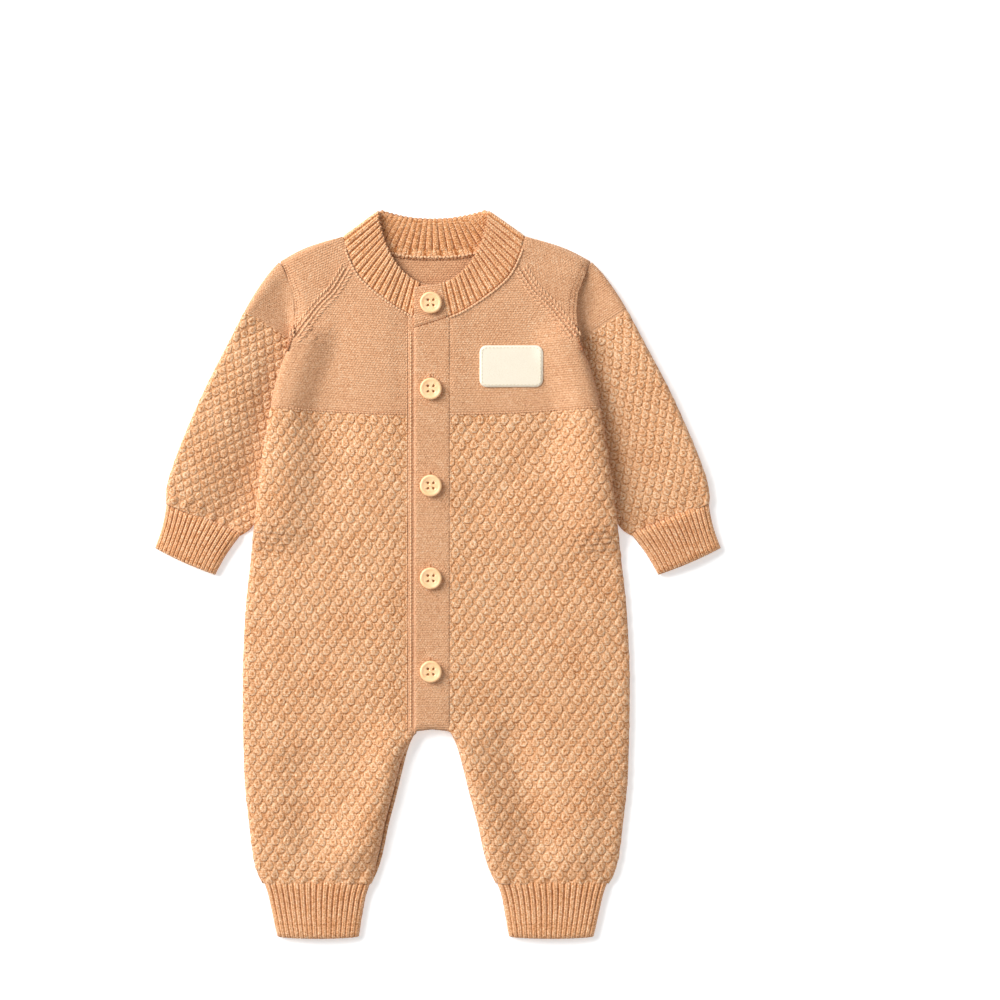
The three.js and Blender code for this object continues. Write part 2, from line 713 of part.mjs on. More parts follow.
// A four-hole button: a dished disc with a rounded rim
function button(wasm) {
  const { radius, height, hole, holeSpread, sides } = BUTTON;
  const profile = [
    [0, 0],
    [radius - 1, 0],
    [radius, 1],
    [radius, height - 0.8],
    [radius - 1, height],
    [radius - 2.4, height - 0.8],
    [0, height - 0.8],
  ].map(([x, y]) => new THREE.Vector2(x, y));
  const disc = new THREE.LatheGeometry(profile, sides).rotateX(Math.PI / 2);
  let solid = asSolid(wasm, disc);
  for (const [sx, sy] of [[1, 1], [1, -1], [-1, 1], [-1, -1]]) {
    const drill = new THREE.CylinderGeometry(hole, hole, 3 * height, 6).rotateX(Math.PI / 2);
    solid = solid.subtract(asSolid(wasm, drill.translate(sx * holeSpread, sy * holeSpread, 0)));
  }
  return asGeometry(solid);
}

// How high a piece's top is under a point of the plan
const DROP_FROM = 100;
function topOf(mesh, x, y) {
  const ray = new THREE.Raycaster(new THREE.Vector3(x, y, DROP_FROM), new THREE.Vector3(0, 0, -1));
  return ray.intersectObject(mesh)[0].point.z;
}

// The plain sewn patch follows the panel under it
function patch(panel) {
  const { x: cx, y: cy, halfWidth, halfHeight, corner } = PATCH;
  const shares = [-1, -0.96, -0.87, -0.76, -0.4, 0, 0.4, 0.76, 0.87, 0.96, 1];
  const net = shares.map((f) => {
    const dx = f * halfWidth;
    const past = Math.max(0, Math.abs(dx) - (halfWidth - corner));
    const half = halfHeight - corner + Math.sqrt(Math.max(0.01, corner * corner - past * past));
    return steps(-1, 1, 4).map((g) => {
      const [x, y] = [cx + dx, cy + g * half];
      const ground = topOf(panel, middleAt(x), y) + SEAM;
      return { outer: [x, y, ground + WALL.patch], inner: [x, y, ground] };
    });
  });
  return new Wall().net(net).geometry();
}

const wasm = await Module();
wasm.setup();
add("back", backPanel(), COLOUR.knit);
const collarStrip = add("collar", asGeometry(collar(wasm)), COLOUR.rib);
add("band_under", underBand(), COLOUR.knit);
const buttonBand = add("band_buttonhole", asGeometry(buttonholeBand(wasm)), COLOUR.knit);
add("front_right", frontPanel(-1), COLOUR.knit);
const patchedFront = add("front_left", frontPanel(1), COLOUR.knit);
add("patch", patch(patchedFront), COLOUR.patch);
for (const [side, name] of [[-1, "right"], [1, "left"]]) {
  add(`sleeve_${name}`, sleeve(side), COLOUR.knit);
  add(`sleeve_cuff_${name}`, sleeveCuff(side), COLOUR.rib);
  add(`leg_cuff_${name}`, legCuff(side), COLOUR.rib);
}
// A button rests on the band's highest point beneath it
BUTTON_HEIGHTS.forEach((y, i) => {
  const disc = add(`button_${i + 1}`, button(wasm), COLOUR.button, 0.45);
  const x = middleAt(BUTTON.x);
  const lap = i === 0 ? collarStrip : buttonBand;
  const under = steps(15, 345, 11).map(THREE.MathUtils.degToRad).map((angle) => {
    return topOf(lap, x + BUTTON.radius * Math.cos(angle), y + BUTTON.radius * Math.sin(angle));
  });
  disc.position.set(x, y, Math.max(...under) + SEAM);
});

export default root;
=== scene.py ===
# A knitted baby romper laid flat on its back: every piece of cloth as a fine shell on its solid's form.
# Shapes are worked out in millimetres and placed in metres. +X is the wearer's left, +Y the collar's side.
import math

import bmesh
import bpy
import numpy as np
from mathutils import Matrix, Vector


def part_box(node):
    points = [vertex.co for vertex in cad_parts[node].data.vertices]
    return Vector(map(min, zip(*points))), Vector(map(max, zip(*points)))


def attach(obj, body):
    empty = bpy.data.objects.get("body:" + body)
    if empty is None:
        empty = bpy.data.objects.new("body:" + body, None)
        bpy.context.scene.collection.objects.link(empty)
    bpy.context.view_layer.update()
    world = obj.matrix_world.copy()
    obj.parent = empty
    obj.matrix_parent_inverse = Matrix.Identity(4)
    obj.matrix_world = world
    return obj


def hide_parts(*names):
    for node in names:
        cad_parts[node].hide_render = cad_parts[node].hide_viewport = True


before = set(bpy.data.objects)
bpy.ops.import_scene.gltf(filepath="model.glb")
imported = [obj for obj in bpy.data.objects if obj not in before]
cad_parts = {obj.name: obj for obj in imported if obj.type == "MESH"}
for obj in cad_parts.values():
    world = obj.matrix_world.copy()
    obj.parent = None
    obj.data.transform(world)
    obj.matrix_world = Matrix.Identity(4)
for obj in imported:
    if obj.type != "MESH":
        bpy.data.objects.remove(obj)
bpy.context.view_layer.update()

# Sizes
MM = 0.001
HALF_SPAN = 196
MIDDLE_SHIFT = -3.8  # the middle of the cloth lies this far to one side of the outline's middle
LOFT = 8  # height of the two body layers
EDGE_LOSS = 1.3
ROLL, FRONT_ROLL, SHOULDER_ROLL = 4.2, 6.5, 10
INSEAM_SHOWS = 2.3  # how much of the back shows beside the right leg
WALL = {"body": 2.3, "sleeve": 1.4, "rib": 2.2, "band": 2.2, "collar": 2.3, "patch": 1.0}
TUCK = {"height": 4.7, "lift": 5.3, "plateau": 10, "fade": 34, "softer": 14}
ARMHOLE_DROP = {"right": 1.9, "left": 0.5, "width": 8}  # how far the body's edge sinks beside each sleeve
SLEEVE_FORM = {"sunk": 2.1, "right_crown": 1.4, "left_crown": 0.6, "wrist_loss": 1.6, "seam_sunk": 0.6}
SLEEVE_ROLL = {"head": 9.5, "wrist": 3.4}
BAND = {"left": -12.9, "right": 11.3, "under_left": -17.4, "under_right": 9.4}
ARCH_END = {"y": -112.5, "out": 13.5}  # where the lower band's corner ends under the right front
BAND_RISE = {"over": 0.6, "under": -1.1, "over_fade": 30, "under_fade": 33}
BUTTON = {"radius": 7.6, "height": 2.9, "hole": 0.85, "spread": 1.85, "x": -1}
BUTTON_HEIGHTS = [188, 128.5, 61.5, -2.5, -67]
BUTTONHOLE = {"length": 17.5, "width": 1.3, "rise": 0.9}
PATCH = {"x": 53.5, "y": 144, "half_width": 21.5, "half_height": 14.5, "corner": 5}
RIB = {"depth": 1.0, "sleeve": 16, "leg": 18, "pitch": 4.4}
ARMPIT, SHOULDER_END, CROTCH, RAGLAN_END, COLLAR_END = 147, 216.5, -107, 160, 178.4
HEM, ANKLE = -214, -252
BUBBLE = {"pitch": 8.2, "row": 5.7, "height": 0.62, "first": 4.3, "half_width": 2.85, "above": 4.5,
          "below": 3.3}
YOKE = {"middle": 110.5, "rise": 5.5, "half_width": 115}
WALE, COURSE = 2.0, 1.6  # one plain stitch
EVEN = 0.45  # how much plain knit's colour is evened out

# Outlines of the half at +X: height, distance out
SHOULDER = [(234, 63), (230, 78), (225, 92), (216.5, 108)]
ARMHOLE = [(216.5, 108), (212, 105), (201, 100.5), (194, 98), (182, 97), (171, 97.7), (162.5, 99.3),
           (154, 102.5), (147, 106)]
SIDE = [(147, 106), (128, 111.5), (99, 117), (58, 123), (14, 127.8), (-30, 132.3), (-76, 134), (-134, 133),
        (-172, 129.5), (-198, 126), (-208, 123), (-214, 119.8)]
INSEAM = [(-107, 0), (-108.5, 11.4), (-113, 14), (-118.5, 16.5), (-134, 20.8), (-153.5, 25.6), (-173, 30.8),
          (-192, 34.8), (-203, 38), (-214, 43)]
RAGLAN = [(217, 57.2), (207.5, 63), (196, 70.5), (187, 79.5), (177, 87.5), (166, 95.5), (160, 100.2)]
CUFF_OUTSIDE = [(-214, 118.6), (-221.5, 116.2), (-231, 114), (-252, 109.5)]
CUFF_INSIDE = [(-214, 44), (-221.5, 46.6), (-231, 48.6), (-252, 52)]
# The collar's edges from the button end to the fold beside the neck, and on to the middle of the back
NECK_FRONT = [(-12.9, 198.8), (0, 200.4), (8, 202), (17.3, 207), (26.4, 217), (32.6, 228.7), (36.5, 241),
              (38.2, 251.8)]
SEAM_FRONT = [(-12.9, 170.6), (0, 174.8), (10, 178), (20, 182.3), (32, 190), (43, 198.5), (52, 207.5),
              (58.5, 220), (63, 234)]
NECK_BACK = [(38.2, 251.8), (25, 248.2), (12, 246), (0, 245.4)]
SEAM_BACK = [(63, 234), (42, 224.5), (20, 219.5), (0, 218.5)]
SLEEVE_OUTSIDE = [(108.4, 216.3), (117.8, 205.5), (130.6, 186), (146, 157), (161, 128), (174, 99), (182, 79),
                  (187.4, 62), (188.3, 49)]
SLEEVE_INSIDE = [(99.9, 161), (101, 148), (104.5, 128), (108.5, 106), (113, 79), (117.5, 58), (122, 43),
                 (128, 32), (135.6, 26.6)]
WRIST = {"seam_in": (136.4, 26), "seam_out": (188, 48.2), "end_in": (153.3, -0.3), "end_out": (196, 18.4)}
SLEEVE_LENGTH, SLEEVE_LOFT = 178, 7.6
# The sleeve's courses lie like spokes round a far point
SLEEVE_SPOKES = {"x": -598, "y": -291, "radius": 855, "yoke": math.radians(33), "dense": 1.14}

# Soft folds: the line's ends, its half-width and its depth
FOLDS = [
    {"name": "inner roll of the right leg", "ends": ((-28, -120), (-58, -207)), "width": 15, "depth": -4.6},
    {"name": "hollow of the right leg", "ends": ((-90, -136), (-84, -202)), "width": 15, "depth": 2.6},
    {"name": "hollow of the left leg", "ends": ((54, -114), (75, -203)), "width": 14, "depth": 4.2},
    {"name": "inner roll of the left leg", "ends": ((25, -118), (49, -202)), "width": 9, "depth": -1.4},
    {"name": "outer roll of the left leg", "ends": ((108, -140), (94, -204)), "width": 16, "depth": -1.6},
    {"name": "hollow by the right arm", "ends": ((-70, 186), (-76, 62)), "width": 17, "depth": 1.3},
    {"name": "dent under the right yoke", "ends": ((-86, 106), (-64, 98)), "width": 12, "depth": 1.2},
    {"name": "roll by the left arm", "ends": ((96, 203), (112, 62)), "width": 15, "depth": -2.4},
    {"name": "hollow under the yoke", "ends": ((26, 101), (74, 92)), "width": 12, "depth": 1.0},
    {"name": "pull from the left arm", "ends": ((88, 100), (36, 50)), "width": 12, "depth": 0.9},
    {"name": "right hip", "ends": ((-126, -36), (-76, -62)), "width": 11, "depth": 1.0},
    {"name": "left hip", "ends": ((126, -58), (72, -36)), "width": 12, "depth": 1.1},
    {"name": "right crotch pull", "ends": ((-22, -100), (-74, -84)), "width": 10, "depth": 0.9},
    {"name": "left crotch pull", "ends": ((18, -98), (70, -88)), "width": 10, "depth": 1.0},
    {"name": "belly pull", "ends": ((-112, 20), (-40, 6)), "width": 13, "depth": 0.6},
    {"name": "left belly pull", "ends": ((112, 2), (48, -14)), "width": 13, "depth": 0.6},
]


def smooth(low, high, value):
    share = np.clip((value - low) / (high - low), 0, 1)
    return share * share * (3 - 2 * share)


def mix(a, b, share):
    return a + (b - a) * share


def edge(rows):
    """How far out an outline is at a height, smooth through the rows."""
    heights, outs = np.array(sorted(rows), float).T
    slopes = np.diff(outs) / np.diff(heights)
    bends = [0 if a * b <= 0 else 2 * a * b / (a + b) for a, b in zip(slopes, slopes[1:])]
    tangents = np.array([slopes[0], *bends, slopes[-1]])

    def out(y):
        y = np.clip(y, heights[0], heights[-1])
        i = np.clip(np.searchsorted(heights, y, side="right") - 1, 0, len(slopes) - 1)
        span = heights[i + 1] - heights[i]
        t = (y - heights[i]) / span
        t2, t3 = t * t, t * t * t
        return ((2 * t3 - 3 * t2 + 1) * outs[i] + (t3 - 2 * t2 + t) * span * tangents[i]
                + (3 * t2 - 2 * t3) * outs[i + 1] + (t3 - t2) * span * tangents[i + 1])

    return out


def line(points):
    """A smooth line through points, as a function of the share of its length."""
    p = np.array(points, float)
    p = np.vstack([2 * p[0] - p[1], p, 2 * p[-1] - p[-2]])
    t = np.linspace(0, 1, 25)[:, None]
    fine = np.vstack([
        0.5 * (2 * b + (c - a) * t + (2 * a - 5 * b + 4 * c - d) * t ** 2 + (3 * b - a - 3 * c + d) * t ** 3)
        for a, b, c, d in zip(p, p[1:], p[2:], p[3:])])
    run = np.concatenate([[0], np.cumsum(np.hypot(*np.diff(fine, axis=0).T))])
    return lambda share: np.stack(
        [np.interp(np.clip(share, 0, 1) * run[-1], run, fine[:, k]) for k in (0, 1)], -1)


shoulder_x, armhole_x, side_x = edge(SHOULDER), edge(ARMHOLE), edge(SIDE)
inseam_x, raglan_x = edge(INSEAM), edge(RAGLAN)
collar_seam_x = edge([(y, x) for x, y in SEAM_FRONT[2:]])
back_neck_x = edge([(y, x) for x, y in SEAM_BACK])


def body_edge_x(y):
    return np.where(y > ARMPIT, armhole_x(y), side_x(y))


EDGE_HEIGHTS = np.arange(SHOULDER_END, HEM, -4.0)
EDGE_OUTS = body_edge_x(EDGE_HEIGHTS)


def from_body_edge(x, y):
    """How far a point lies inside the body's outer edge, and at what height the nearest edge is."""
    nearest, height = np.full(np.shape(x), 1e9), np.zeros(np.shape(x))
    for edge_x, edge_y in zip(EDGE_OUTS, EDGE_HEIGHTS):
        away = np.hypot(np.abs(x) - edge_x, y - edge_y)
        height = np.where(away < nearest, edge_y, height)
        nearest = np.minimum(nearest, away)
    return nearest, height


def along(x, y, start, end):
    """The share of the way along a straight line and the distance from it."""
    (x0, y0), (x1, y1) = start, end
    dx, dy = x1 - x0, y1 - y0
    t = np.clip(((x - x0) * dx + (y - y0) * dy) / (dx * dx + dy * dy), 0, 1)
    return t, np.hypot(x - x0 - t * dx, y - y0 - t * dy)


def fold_depth(x, y):
    total = np.zeros(np.shape(x))
    for fold in FOLDS:
        away = along(x, y, *fold["ends"])[1] / fold["width"]
        total += fold["depth"] * np.exp(-away * away)
    return total * smooth(HEM + 1, HEM + 26, y)


def body_lift(x, y):
    """The body lies over the sleeve's flat inner side."""
    distance, height = from_body_edge(x, y)
    low = 1 - smooth(163, 181, height)
    fade = TUCK["fade"] + TUCK["softer"] * smooth(130, 60, height)
    return TUCK["lift"] * low * smooth(12, 38, height) * (1 - smooth(TUCK["plateau"], fade, distance))


def front_level(x, y):
    flatter = EDGE_LOSS * (1 - smooth(0, 26, from_body_edge(x, y)[0]))
    near_hem = 0.9 * (1 - smooth(HEM, HEM + 26, y))
    drop = np.where(x > 0, ARMHOLE_DROP["left"], ARMHOLE_DROP["right"])
    beside_sleeve = 1 - smooth(0, ARMHOLE_DROP["width"], armhole_x(y) - np.abs(x))
    at_armhole = drop * beside_sleeve * smooth(160, 172, y)
    return LOFT - flatter - near_hem - at_armhole + body_lift(x, y) - fold_depth(x, y)


def seam_level(x, y):
    return body_lift(x, y) + (LOFT - EDGE_LOSS) / 2


def band_rise(x, side):
    over, under = BAND_RISE["over"], BAND_RISE["under"]
    if side > 0:
        return over * (1 - smooth(BAND["right"], BAND_RISE["over_fade"], x))
    return under * (1 - smooth(-BAND["under_left"], BAND_RISE["under_fade"], x))


def yoke_line(x, y):
    """The yoke's lower edge dips in the middle, and the courses below it straighten towards the legs."""
    return YOKE["middle"] + YOKE["rise"] * (np.abs(x) / YOKE["half_width"]) ** 2 * smooth(-150, 110, y)


def wobble(u, v):
    """A slow unevenness of the hand, from -1 to 1."""
    return (np.sin(u / 17 + 1.3 * np.sin(v / 29)) + np.sin(v / 13 + 1.7 * np.sin(u / 37) + 2)) / 2


def leaf(across, up):
    """How far a spot is from a puff's middle, 1 at its outline, which is pointed above and round below."""
    above = (up > 0) * 1.0
    power = 2.0 - above * 0.62
    high = BUBBLE["below"] + above * (BUBBLE["above"] - BUBBLE["below"])
    total = (abs(across) / BUBBLE["half_width"]) ** power + (abs(up) / high) ** power
    return total ** (1.0 / power)


def bubble(u, v):
    """The nearest puff of the staggered rows: how far its middle is, and how far below the spot."""
    v = v + BUBBLE["first"]
    middle_row = (v / BUBBLE["row"]) // 1
    near, up = 9.0, 0.0
    for row in (middle_row - 1, middle_row, middle_row + 1):
        shift = (row % 2) * 0.5
        column = (u / BUBBLE["pitch"] - shift + 0.5) // 1
        rise = v - row * BUBBLE["row"]
        here = leaf(u - (column + shift) * BUBBLE["pitch"], rise)
        closer = (here < near) * 1.0
        near, up = near + closer * (here - near), up + closer * (rise - up)
    return near, up


def knit_spot(u, v):
    """The cloth's own coordinates, a little uneven as hand knitting is."""
    return np.stack([u + 0.5 * wobble(u, v), v + 0.45 * wobble(v + 40, u)], -1)


def bubble_relief(fabric):
    """Raised puffs below the yoke line at v = 0, each proudest at its lower edge."""
    u, v = fabric[..., 0], fabric[..., 1]
    near, up = bubble(u, v)
    dome = np.clip(1 - near ** 2.4, 0, 1) ** 0.72 * (1 - 0.07 * up)
    uneven = 1 + 0.22 * np.sin(1.9 * u / BUBBLE["pitch"] + 2.3 * v / BUBBLE["row"])
    ground = 0.16 * smooth(1.15, 1.5, near)
    return BUBBLE["height"] * (dome * uneven + ground - 0.5) * smooth(0.2, -1.0, v)


# Cloth
def place(x, y, z):
    """Millimetres of the pattern to metres of the frame."""
    return np.stack([x + MIDDLE_SHIFT * (1 - np.abs(x) / HALF_SPAN), y, z], -1) * MM


def new_object(name, bm):
    mesh = bpy.data.meshes.new(name)
    bm.to_mesh(mesh)
    bm.free()
    for polygon in mesh.polygons:
        polygon.use_smooth = True
    made = bpy.data.objects.new(name, mesh)
    bpy.context.scene.collection.objects.link(made)
    return made


def cloth(name, parts, facing=0, wall=0.0, rim=0.0, weld=0.02):
    """A sheet through one or more nets. Each part has its columns, its rows, and a surface that gives
    points, the cloth's own coordinates and the relief. facing is the sign of the outside's z, or 0 on a
    tube. wall gives the whole sheet a thickness. rim turns only its edges in, by one width or by height."""
    bm = bmesh.new()
    relief_layer = bm.verts.layers.float.new("relief")
    uv = bm.loops.layers.uv.new("fabric")
    for us, vs, surface in parts:
        grid = bmesh.ops.create_grid(
            bm, x_segments=len(us) - 1, y_segments=len(vs) - 1, size=0.5, calc_uvs=True)["verts"]
        spots = np.array([v.co for v in grid])[:, :2] + 0.5
        i = np.rint(spots[:, 0] * (len(us) - 1)).astype(int)
        j = np.rint(spots[:, 1] * (len(vs) - 1)).astype(int)
        points, fabric, relief = surface(np.asarray(us, float)[i], np.asarray(vs, float)[j])
        own = {}
        for vert, point, spot, height in zip(grid, points, fabric, relief):
            vert.co = point
            vert[relief_layer] = height
            own[vert] = spot
        for face in {f for vert in grid for f in vert.link_faces}:
            for loop in face.loops:
                loop[uv].uv = own[loop.vert]
    bmesh.ops.remove_doubles(bm, verts=bm.verts, dist=weld * MM)
    bmesh.ops.recalc_face_normals(bm, faces=bm.faces)
    bm.normal_update()
    middle = sum(v.co.z for v in bm.verts) / len(bm.verts)
    outward = sum(
        f.normal.z * f.calc_area() * (facing or f.calc_center_median().z - middle) for f in bm.faces)
    if outward < 0:
        bmesh.ops.reverse_faces(bm, faces=bm.faces)
        bm.normal_update()
    area = sum(f.calc_area() for f in bm.faces)
    shifts = [(vert, vert.normal * vert[relief_layer] * MM) for vert in bm.verts]
    for vert, shift in shifts:
        vert.co += shift
    if rim:
        bm.normal_update()
        inward = {vert: vert.normal.copy() for vert in bm.verts}
        made = bmesh.ops.extrude_edge_only(bm, edges=[e for e in bm.edges if e.is_boundary])["geom"]
        new = {g for g in made if isinstance(g, bmesh.types.BMVert)}
        for vert in new:
            root = next(o for o in (e.other_vert(vert) for e in vert.link_edges) if o not in new)
            vert.co -= inward[root] * (rim(root.co.y / MM) if callable(rim) else rim) * MM
    piece = new_object(name, bm)
    if wall:
        shell = piece.modifiers.new("wall", "SOLIDIFY")
        shell.thickness = wall * MM
        shell.offset = -1
    piece["cut_area"] = area
    return piece


def layer(u, y, outer, inner, fold_out, fold_in, roll, level, seam, share=0.045):
    """Across a layer: x and z where a folded edge rolls over to the seam. u runs from the outside in."""
    width = np.abs(outer - inner)
    r = np.minimum(roll, 0.42 * width)
    q_out = math.pi / 2 * np.clip(u / share, 0, 1)
    q_in = math.pi / 2 * np.clip((1 - u) / share, 0, 1)
    f = np.clip((u - share) / (1 - 2 * share), 0, 1)
    s = r * (1 - np.cos(q_out)) + f * (width - 2 * r) + r * np.cos(q_in)
    x = outer + np.sign(inner - outer) * s
    drop = fold_out * (1 - np.sin(q_out)) + fold_in * (1 - np.sin(q_in))
    return x, mix(level(x, y), seam(x, y), drop)


def stops(rolled, between, share=0.045):
    """Columns for layer(): fine in the rolled edges and even between them."""
    return np.concatenate([
        np.linspace(0, share, rolled + 1)[:-1], np.linspace(share, 1 - share, between + 1),
        np.linspace(1 - share, 1, rolled + 1)[1:]])


FRONT_ROWS = np.concatenate([np.arange(COLLAR_END + 37.2, 122, -1.5), np.arange(122, CROTCH, -0.85),
                             np.arange(CROTCH, -112, -0.6), np.arange(-112, HEM, -0.85), [HEM]])


def front(side):
    band = BAND["right"] if side > 0 else -BAND["under_left"]

    def surface(u, y):
        collar = np.where(y > COLLAR_END, collar_seam_x(y), 0)
        crotch = np.where(y < CROTCH, inseam_x(y), 0)
        if side < 0:
            crotch = crotch + INSEAM_SHOWS * smooth(CROTCH - 8, CROTCH - 26, y) * smooth(HEM, HEM + 18, y)
        at_band = band
        if side < 0:
            at_band = mix(band, ARCH_END["out"], smooth(ARCH_END["y"] + 3.5, ARCH_END["y"], y))
        inner = np.maximum(np.maximum(collar, crotch), at_band)
        outer = np.where(y > RAGLAN_END, raglan_x(y), body_edge_x(y))
        x, z = layer(
            u, y, side * outer, side * inner, 1 - smooth(150, 163, y),
            np.where(crotch > at_band, smooth(at_band, at_band + 5, crotch), 0), FRONT_ROLL,
            lambda x, y: front_level(x, y) + band_rise(np.abs(x), side), seam_level, share=0.07)
        fabric = knit_spot(x, y - yoke_line(x, y))
        sewn = smooth(0, 2, np.abs(x) - inner) * smooth(HEM, HEM + 3, y)
        sewn = np.where(y > RAGLAN_END, sewn * smooth(0, 2.4, outer - np.abs(x)), sewn)
        puckers = 0.5 * np.sin(x / 1.9 + 1.2 * wobble(x, y)) * smooth(HEM + 16, HEM + 3, y)
        relief = bubble_relief(fabric) * sewn + 0.14 * wobble(x * 1.7, y * 1.7) - 0.35 * (1 - sewn) + puckers
        line_of_seam = 0.45 * np.exp(-((y - yoke_line(x, y) - 0.3) / 0.9) ** 2)
        return place(x, y, z), fabric, relief - line_of_seam

    name = "left_front_cloth" if side > 0 else "right_front_cloth"
    return cloth(name, [(stops(7, 128, 0.07), FRONT_ROWS, surface)], facing=1, rim=WALL["body"])


SHOULDER_KNIT = {"slant": 24, "above": 500}  # its courses' slope, and clear above the yoke line
SHOULDER_ROWS = np.linspace(233.6, 217, 14)


def shoulder(side):
    rows = np.concatenate([SHOULDER_ROWS, np.arange(215.6, 161, -1.4), [160.6]])

    def surface(u, y):
        top = y > SHOULDER_END
        inner = np.where(top, collar_seam_x(y), raglan_x(y))
        outer = np.where(top, shoulder_x(y), armhole_x(y) + 0.8 * smooth(216, 208, y))
        fold = smooth(208, SHOULDER_END + 0.5, y)
        x, z = layer(u, y, side * outer, side * inner, fold, 0, mix(ROLL, SHOULDER_ROLL, fold), front_level,
                     seam_level, share=0.15)
        seam = smooth(0, 2.2, np.abs(x) - inner) * smooth(0, 2.2, outer - np.abs(x) + 3 * fold)
        slant = np.radians(SHOULDER_KNIT["slant"]) * side
        across = x * np.cos(slant) - y * np.sin(slant)
        up = SHOULDER_KNIT["above"] + x * np.sin(slant) + y * np.cos(slant)
        return place(x, y, z), np.stack([across, up], -1), -0.35 * (1 - seam) + 0.12 * wobble(x * 2, y * 2)

    name = "left_shoulder_cloth" if side > 0 else "right_shoulder_cloth"
    def rim(y):
        return 0.6 + 1.7 * smooth(231, 228, y) + 2.1 * smooth(165, 171, y) * smooth(218, 215, y)

    return cloth(name, [(stops(5, 24, 0.15), rows, surface)], facing=1, rim=rim)


def back():
    rows = np.concatenate([SHOULDER_ROWS, np.arange(215, CROTCH, -3.5), np.linspace(CROTCH - 0.01, -114, 8),
                           np.arange(-117, HEM, -3.5), [HEM]])

    def half(side):
        def surface(u, y):
            inner = np.where(y > SEAM_BACK[-1][1], back_neck_x(y), 0)
            inner = np.where(y < CROTCH, inseam_x(y), inner)
            outer = np.where(y > SHOULDER_END, shoulder_x(y), body_edge_x(y))
            fold = smooth(208, SHOULDER_END + 0.5, y)
            x, z = layer(u, y, side * outer, side * inner, np.maximum(fold, 1 - smooth(150, 163, y)),
                         np.where(y < CROTCH, 1.0, 0), mix(ROLL, SHOULDER_ROLL, fold), body_lift, seam_level)
            return place(x, y, z), knit_spot(x, y - yoke_line(x, y)), np.zeros(np.shape(x))

        return stops(5, 30), rows, surface

    return cloth("back_cloth", [half(1), half(-1)], facing=-1, wall=WALL["body"])


def between(a, b, share):
    return a + (b - a) * np.asarray(share)[..., None]


ARMHOLE_LINE = line([SLEEVE_INSIDE[0], *[(x, y) for y, x in reversed(ARMHOLE) if 163 < y < 215],
                     SLEEVE_OUTSIDE[0]])
OUTSIDE_LINE, INSIDE_LINE = line(SLEEVE_OUTSIDE), line(SLEEVE_INSIDE)
SLEEVE_CORNERS = [np.array(p, float) for p in (SLEEVE_INSIDE[0], SLEEVE_OUTSIDE[0], SLEEVE_INSIDE[-1],
                                               SLEEVE_OUTSIDE[-1])]


def sleeve_plan(u, v):
    """A point of the sleeve's outline filled in between its four edges."""
    head_in, head_out, wrist_in, wrist_out = SLEEVE_CORNERS
    across = between(ARMHOLE_LINE(u), between(wrist_in, wrist_out, u), v)
    down = between(INSIDE_LINE(v), OUTSIDE_LINE(v), u)
    return across + down - between(between(head_in, head_out, u), between(wrist_in, wrist_out, u), v)


def sleeve_height(u, v, side):
    y = sleeve_plan(u, v)[..., 1]
    away = v * SLEEVE_LENGTH
    hollow = mix(0.15, 1, np.maximum(smooth(14, 75, away), u ** 3))
    rise = smooth(0.14, 0.8 if side < 0 else 1.06, u) * hollow
    crease = 0.8 * np.exp(-((u - 0.5 + 0.35 * v) / 0.13) ** 2) * smooth(0.15, 0.4, v) * smooth(0.95, 0.7, v)
    crown = SLEEVE_FORM["right_crown"] if side < 0 else SLEEVE_FORM["left_crown"]
    own = mix(TUCK["height"] - SLEEVE_FORM["sunk"], SLEEVE_LOFT + crown, rise)
    own = own - SLEEVE_FORM["wrist_loss"] * smooth(0.86, 1, v) * rise - crease
    upper = LOFT - EDGE_LOSS - ARMHOLE_DROP["right"] if side < 0 else TUCK["height"] + 0.4
    upper = mix(upper, LOFT - EDGE_LOSS - SLEEVE_FORM["seam_sunk"], smooth(0.7, 1, u))
    at_seam = mix(TUCK["height"] - SLEEVE_FORM["seam_sunk"], upper, smooth(165, 182, y))
    hollow_at_head = 0.7 * np.exp(-((away - 16) / 9) ** 2) * smooth(0.0, 0.12, u) * smooth(1, 0.75, u)
    return mix(at_seam, own, smooth(1, 16, away)) - hollow_at_head


def sleeve_fabric(p, side):
    """The cloth's own coordinates on a sleeve: across it, and down from the yoke line."""
    dx, dy = p[..., 0] - SLEEVE_SPOKES["x"], p[..., 1] - SLEEVE_SPOKES["y"]
    out = np.hypot(dx, dy) - SLEEVE_SPOKES["radius"]
    down = (SLEEVE_SPOKES["yoke"] - np.arctan2(dy, dx)) * SLEEVE_SPOKES["radius"]
    return np.stack([side * out, -down], -1) * SLEEVE_SPOKES["dense"]


TUBE_SHARE = 0.07


def tube_columns(top, under, rolled=5):
    """Columns round a flat tube: 0 to 1 over the top from its inner side, 1 to 2 back underneath."""
    over = stops(rolled, top, TUBE_SHARE)
    return np.concatenate([over, 1 + stops(rolled, under, TUBE_SHARE)[1:]])


def tube(u, width, height, roll):
    """Round a flat tube: the share across it, the height over the floor, and how far it is top or side."""
    on_top = u <= 1
    t = np.where(on_top, u, 2 - u)
    r = np.minimum(roll, 0.4 * width)
    q_in = math.pi / 2 * np.clip(t / TUBE_SHARE, 0, 1)
    q_out = math.pi / 2 * np.clip((1 - t) / TUBE_SHARE, 0, 1)
    f = np.clip((t - TUBE_SHARE) / (1 - 2 * TUBE_SHARE), 0, 1)
    s = r * (1 - np.cos(q_in)) + f * (width - 2 * r) + r * np.cos(q_out)
    share = s / width
    lift = np.sin(q_in) * np.sin(q_out)
    high = height(share)
    z = np.where(on_top, high / 2 * (1 + lift), high / 2 * (1 - lift))
    return share, z, np.where(on_top, 0.35 + 0.65 * lift, 0)


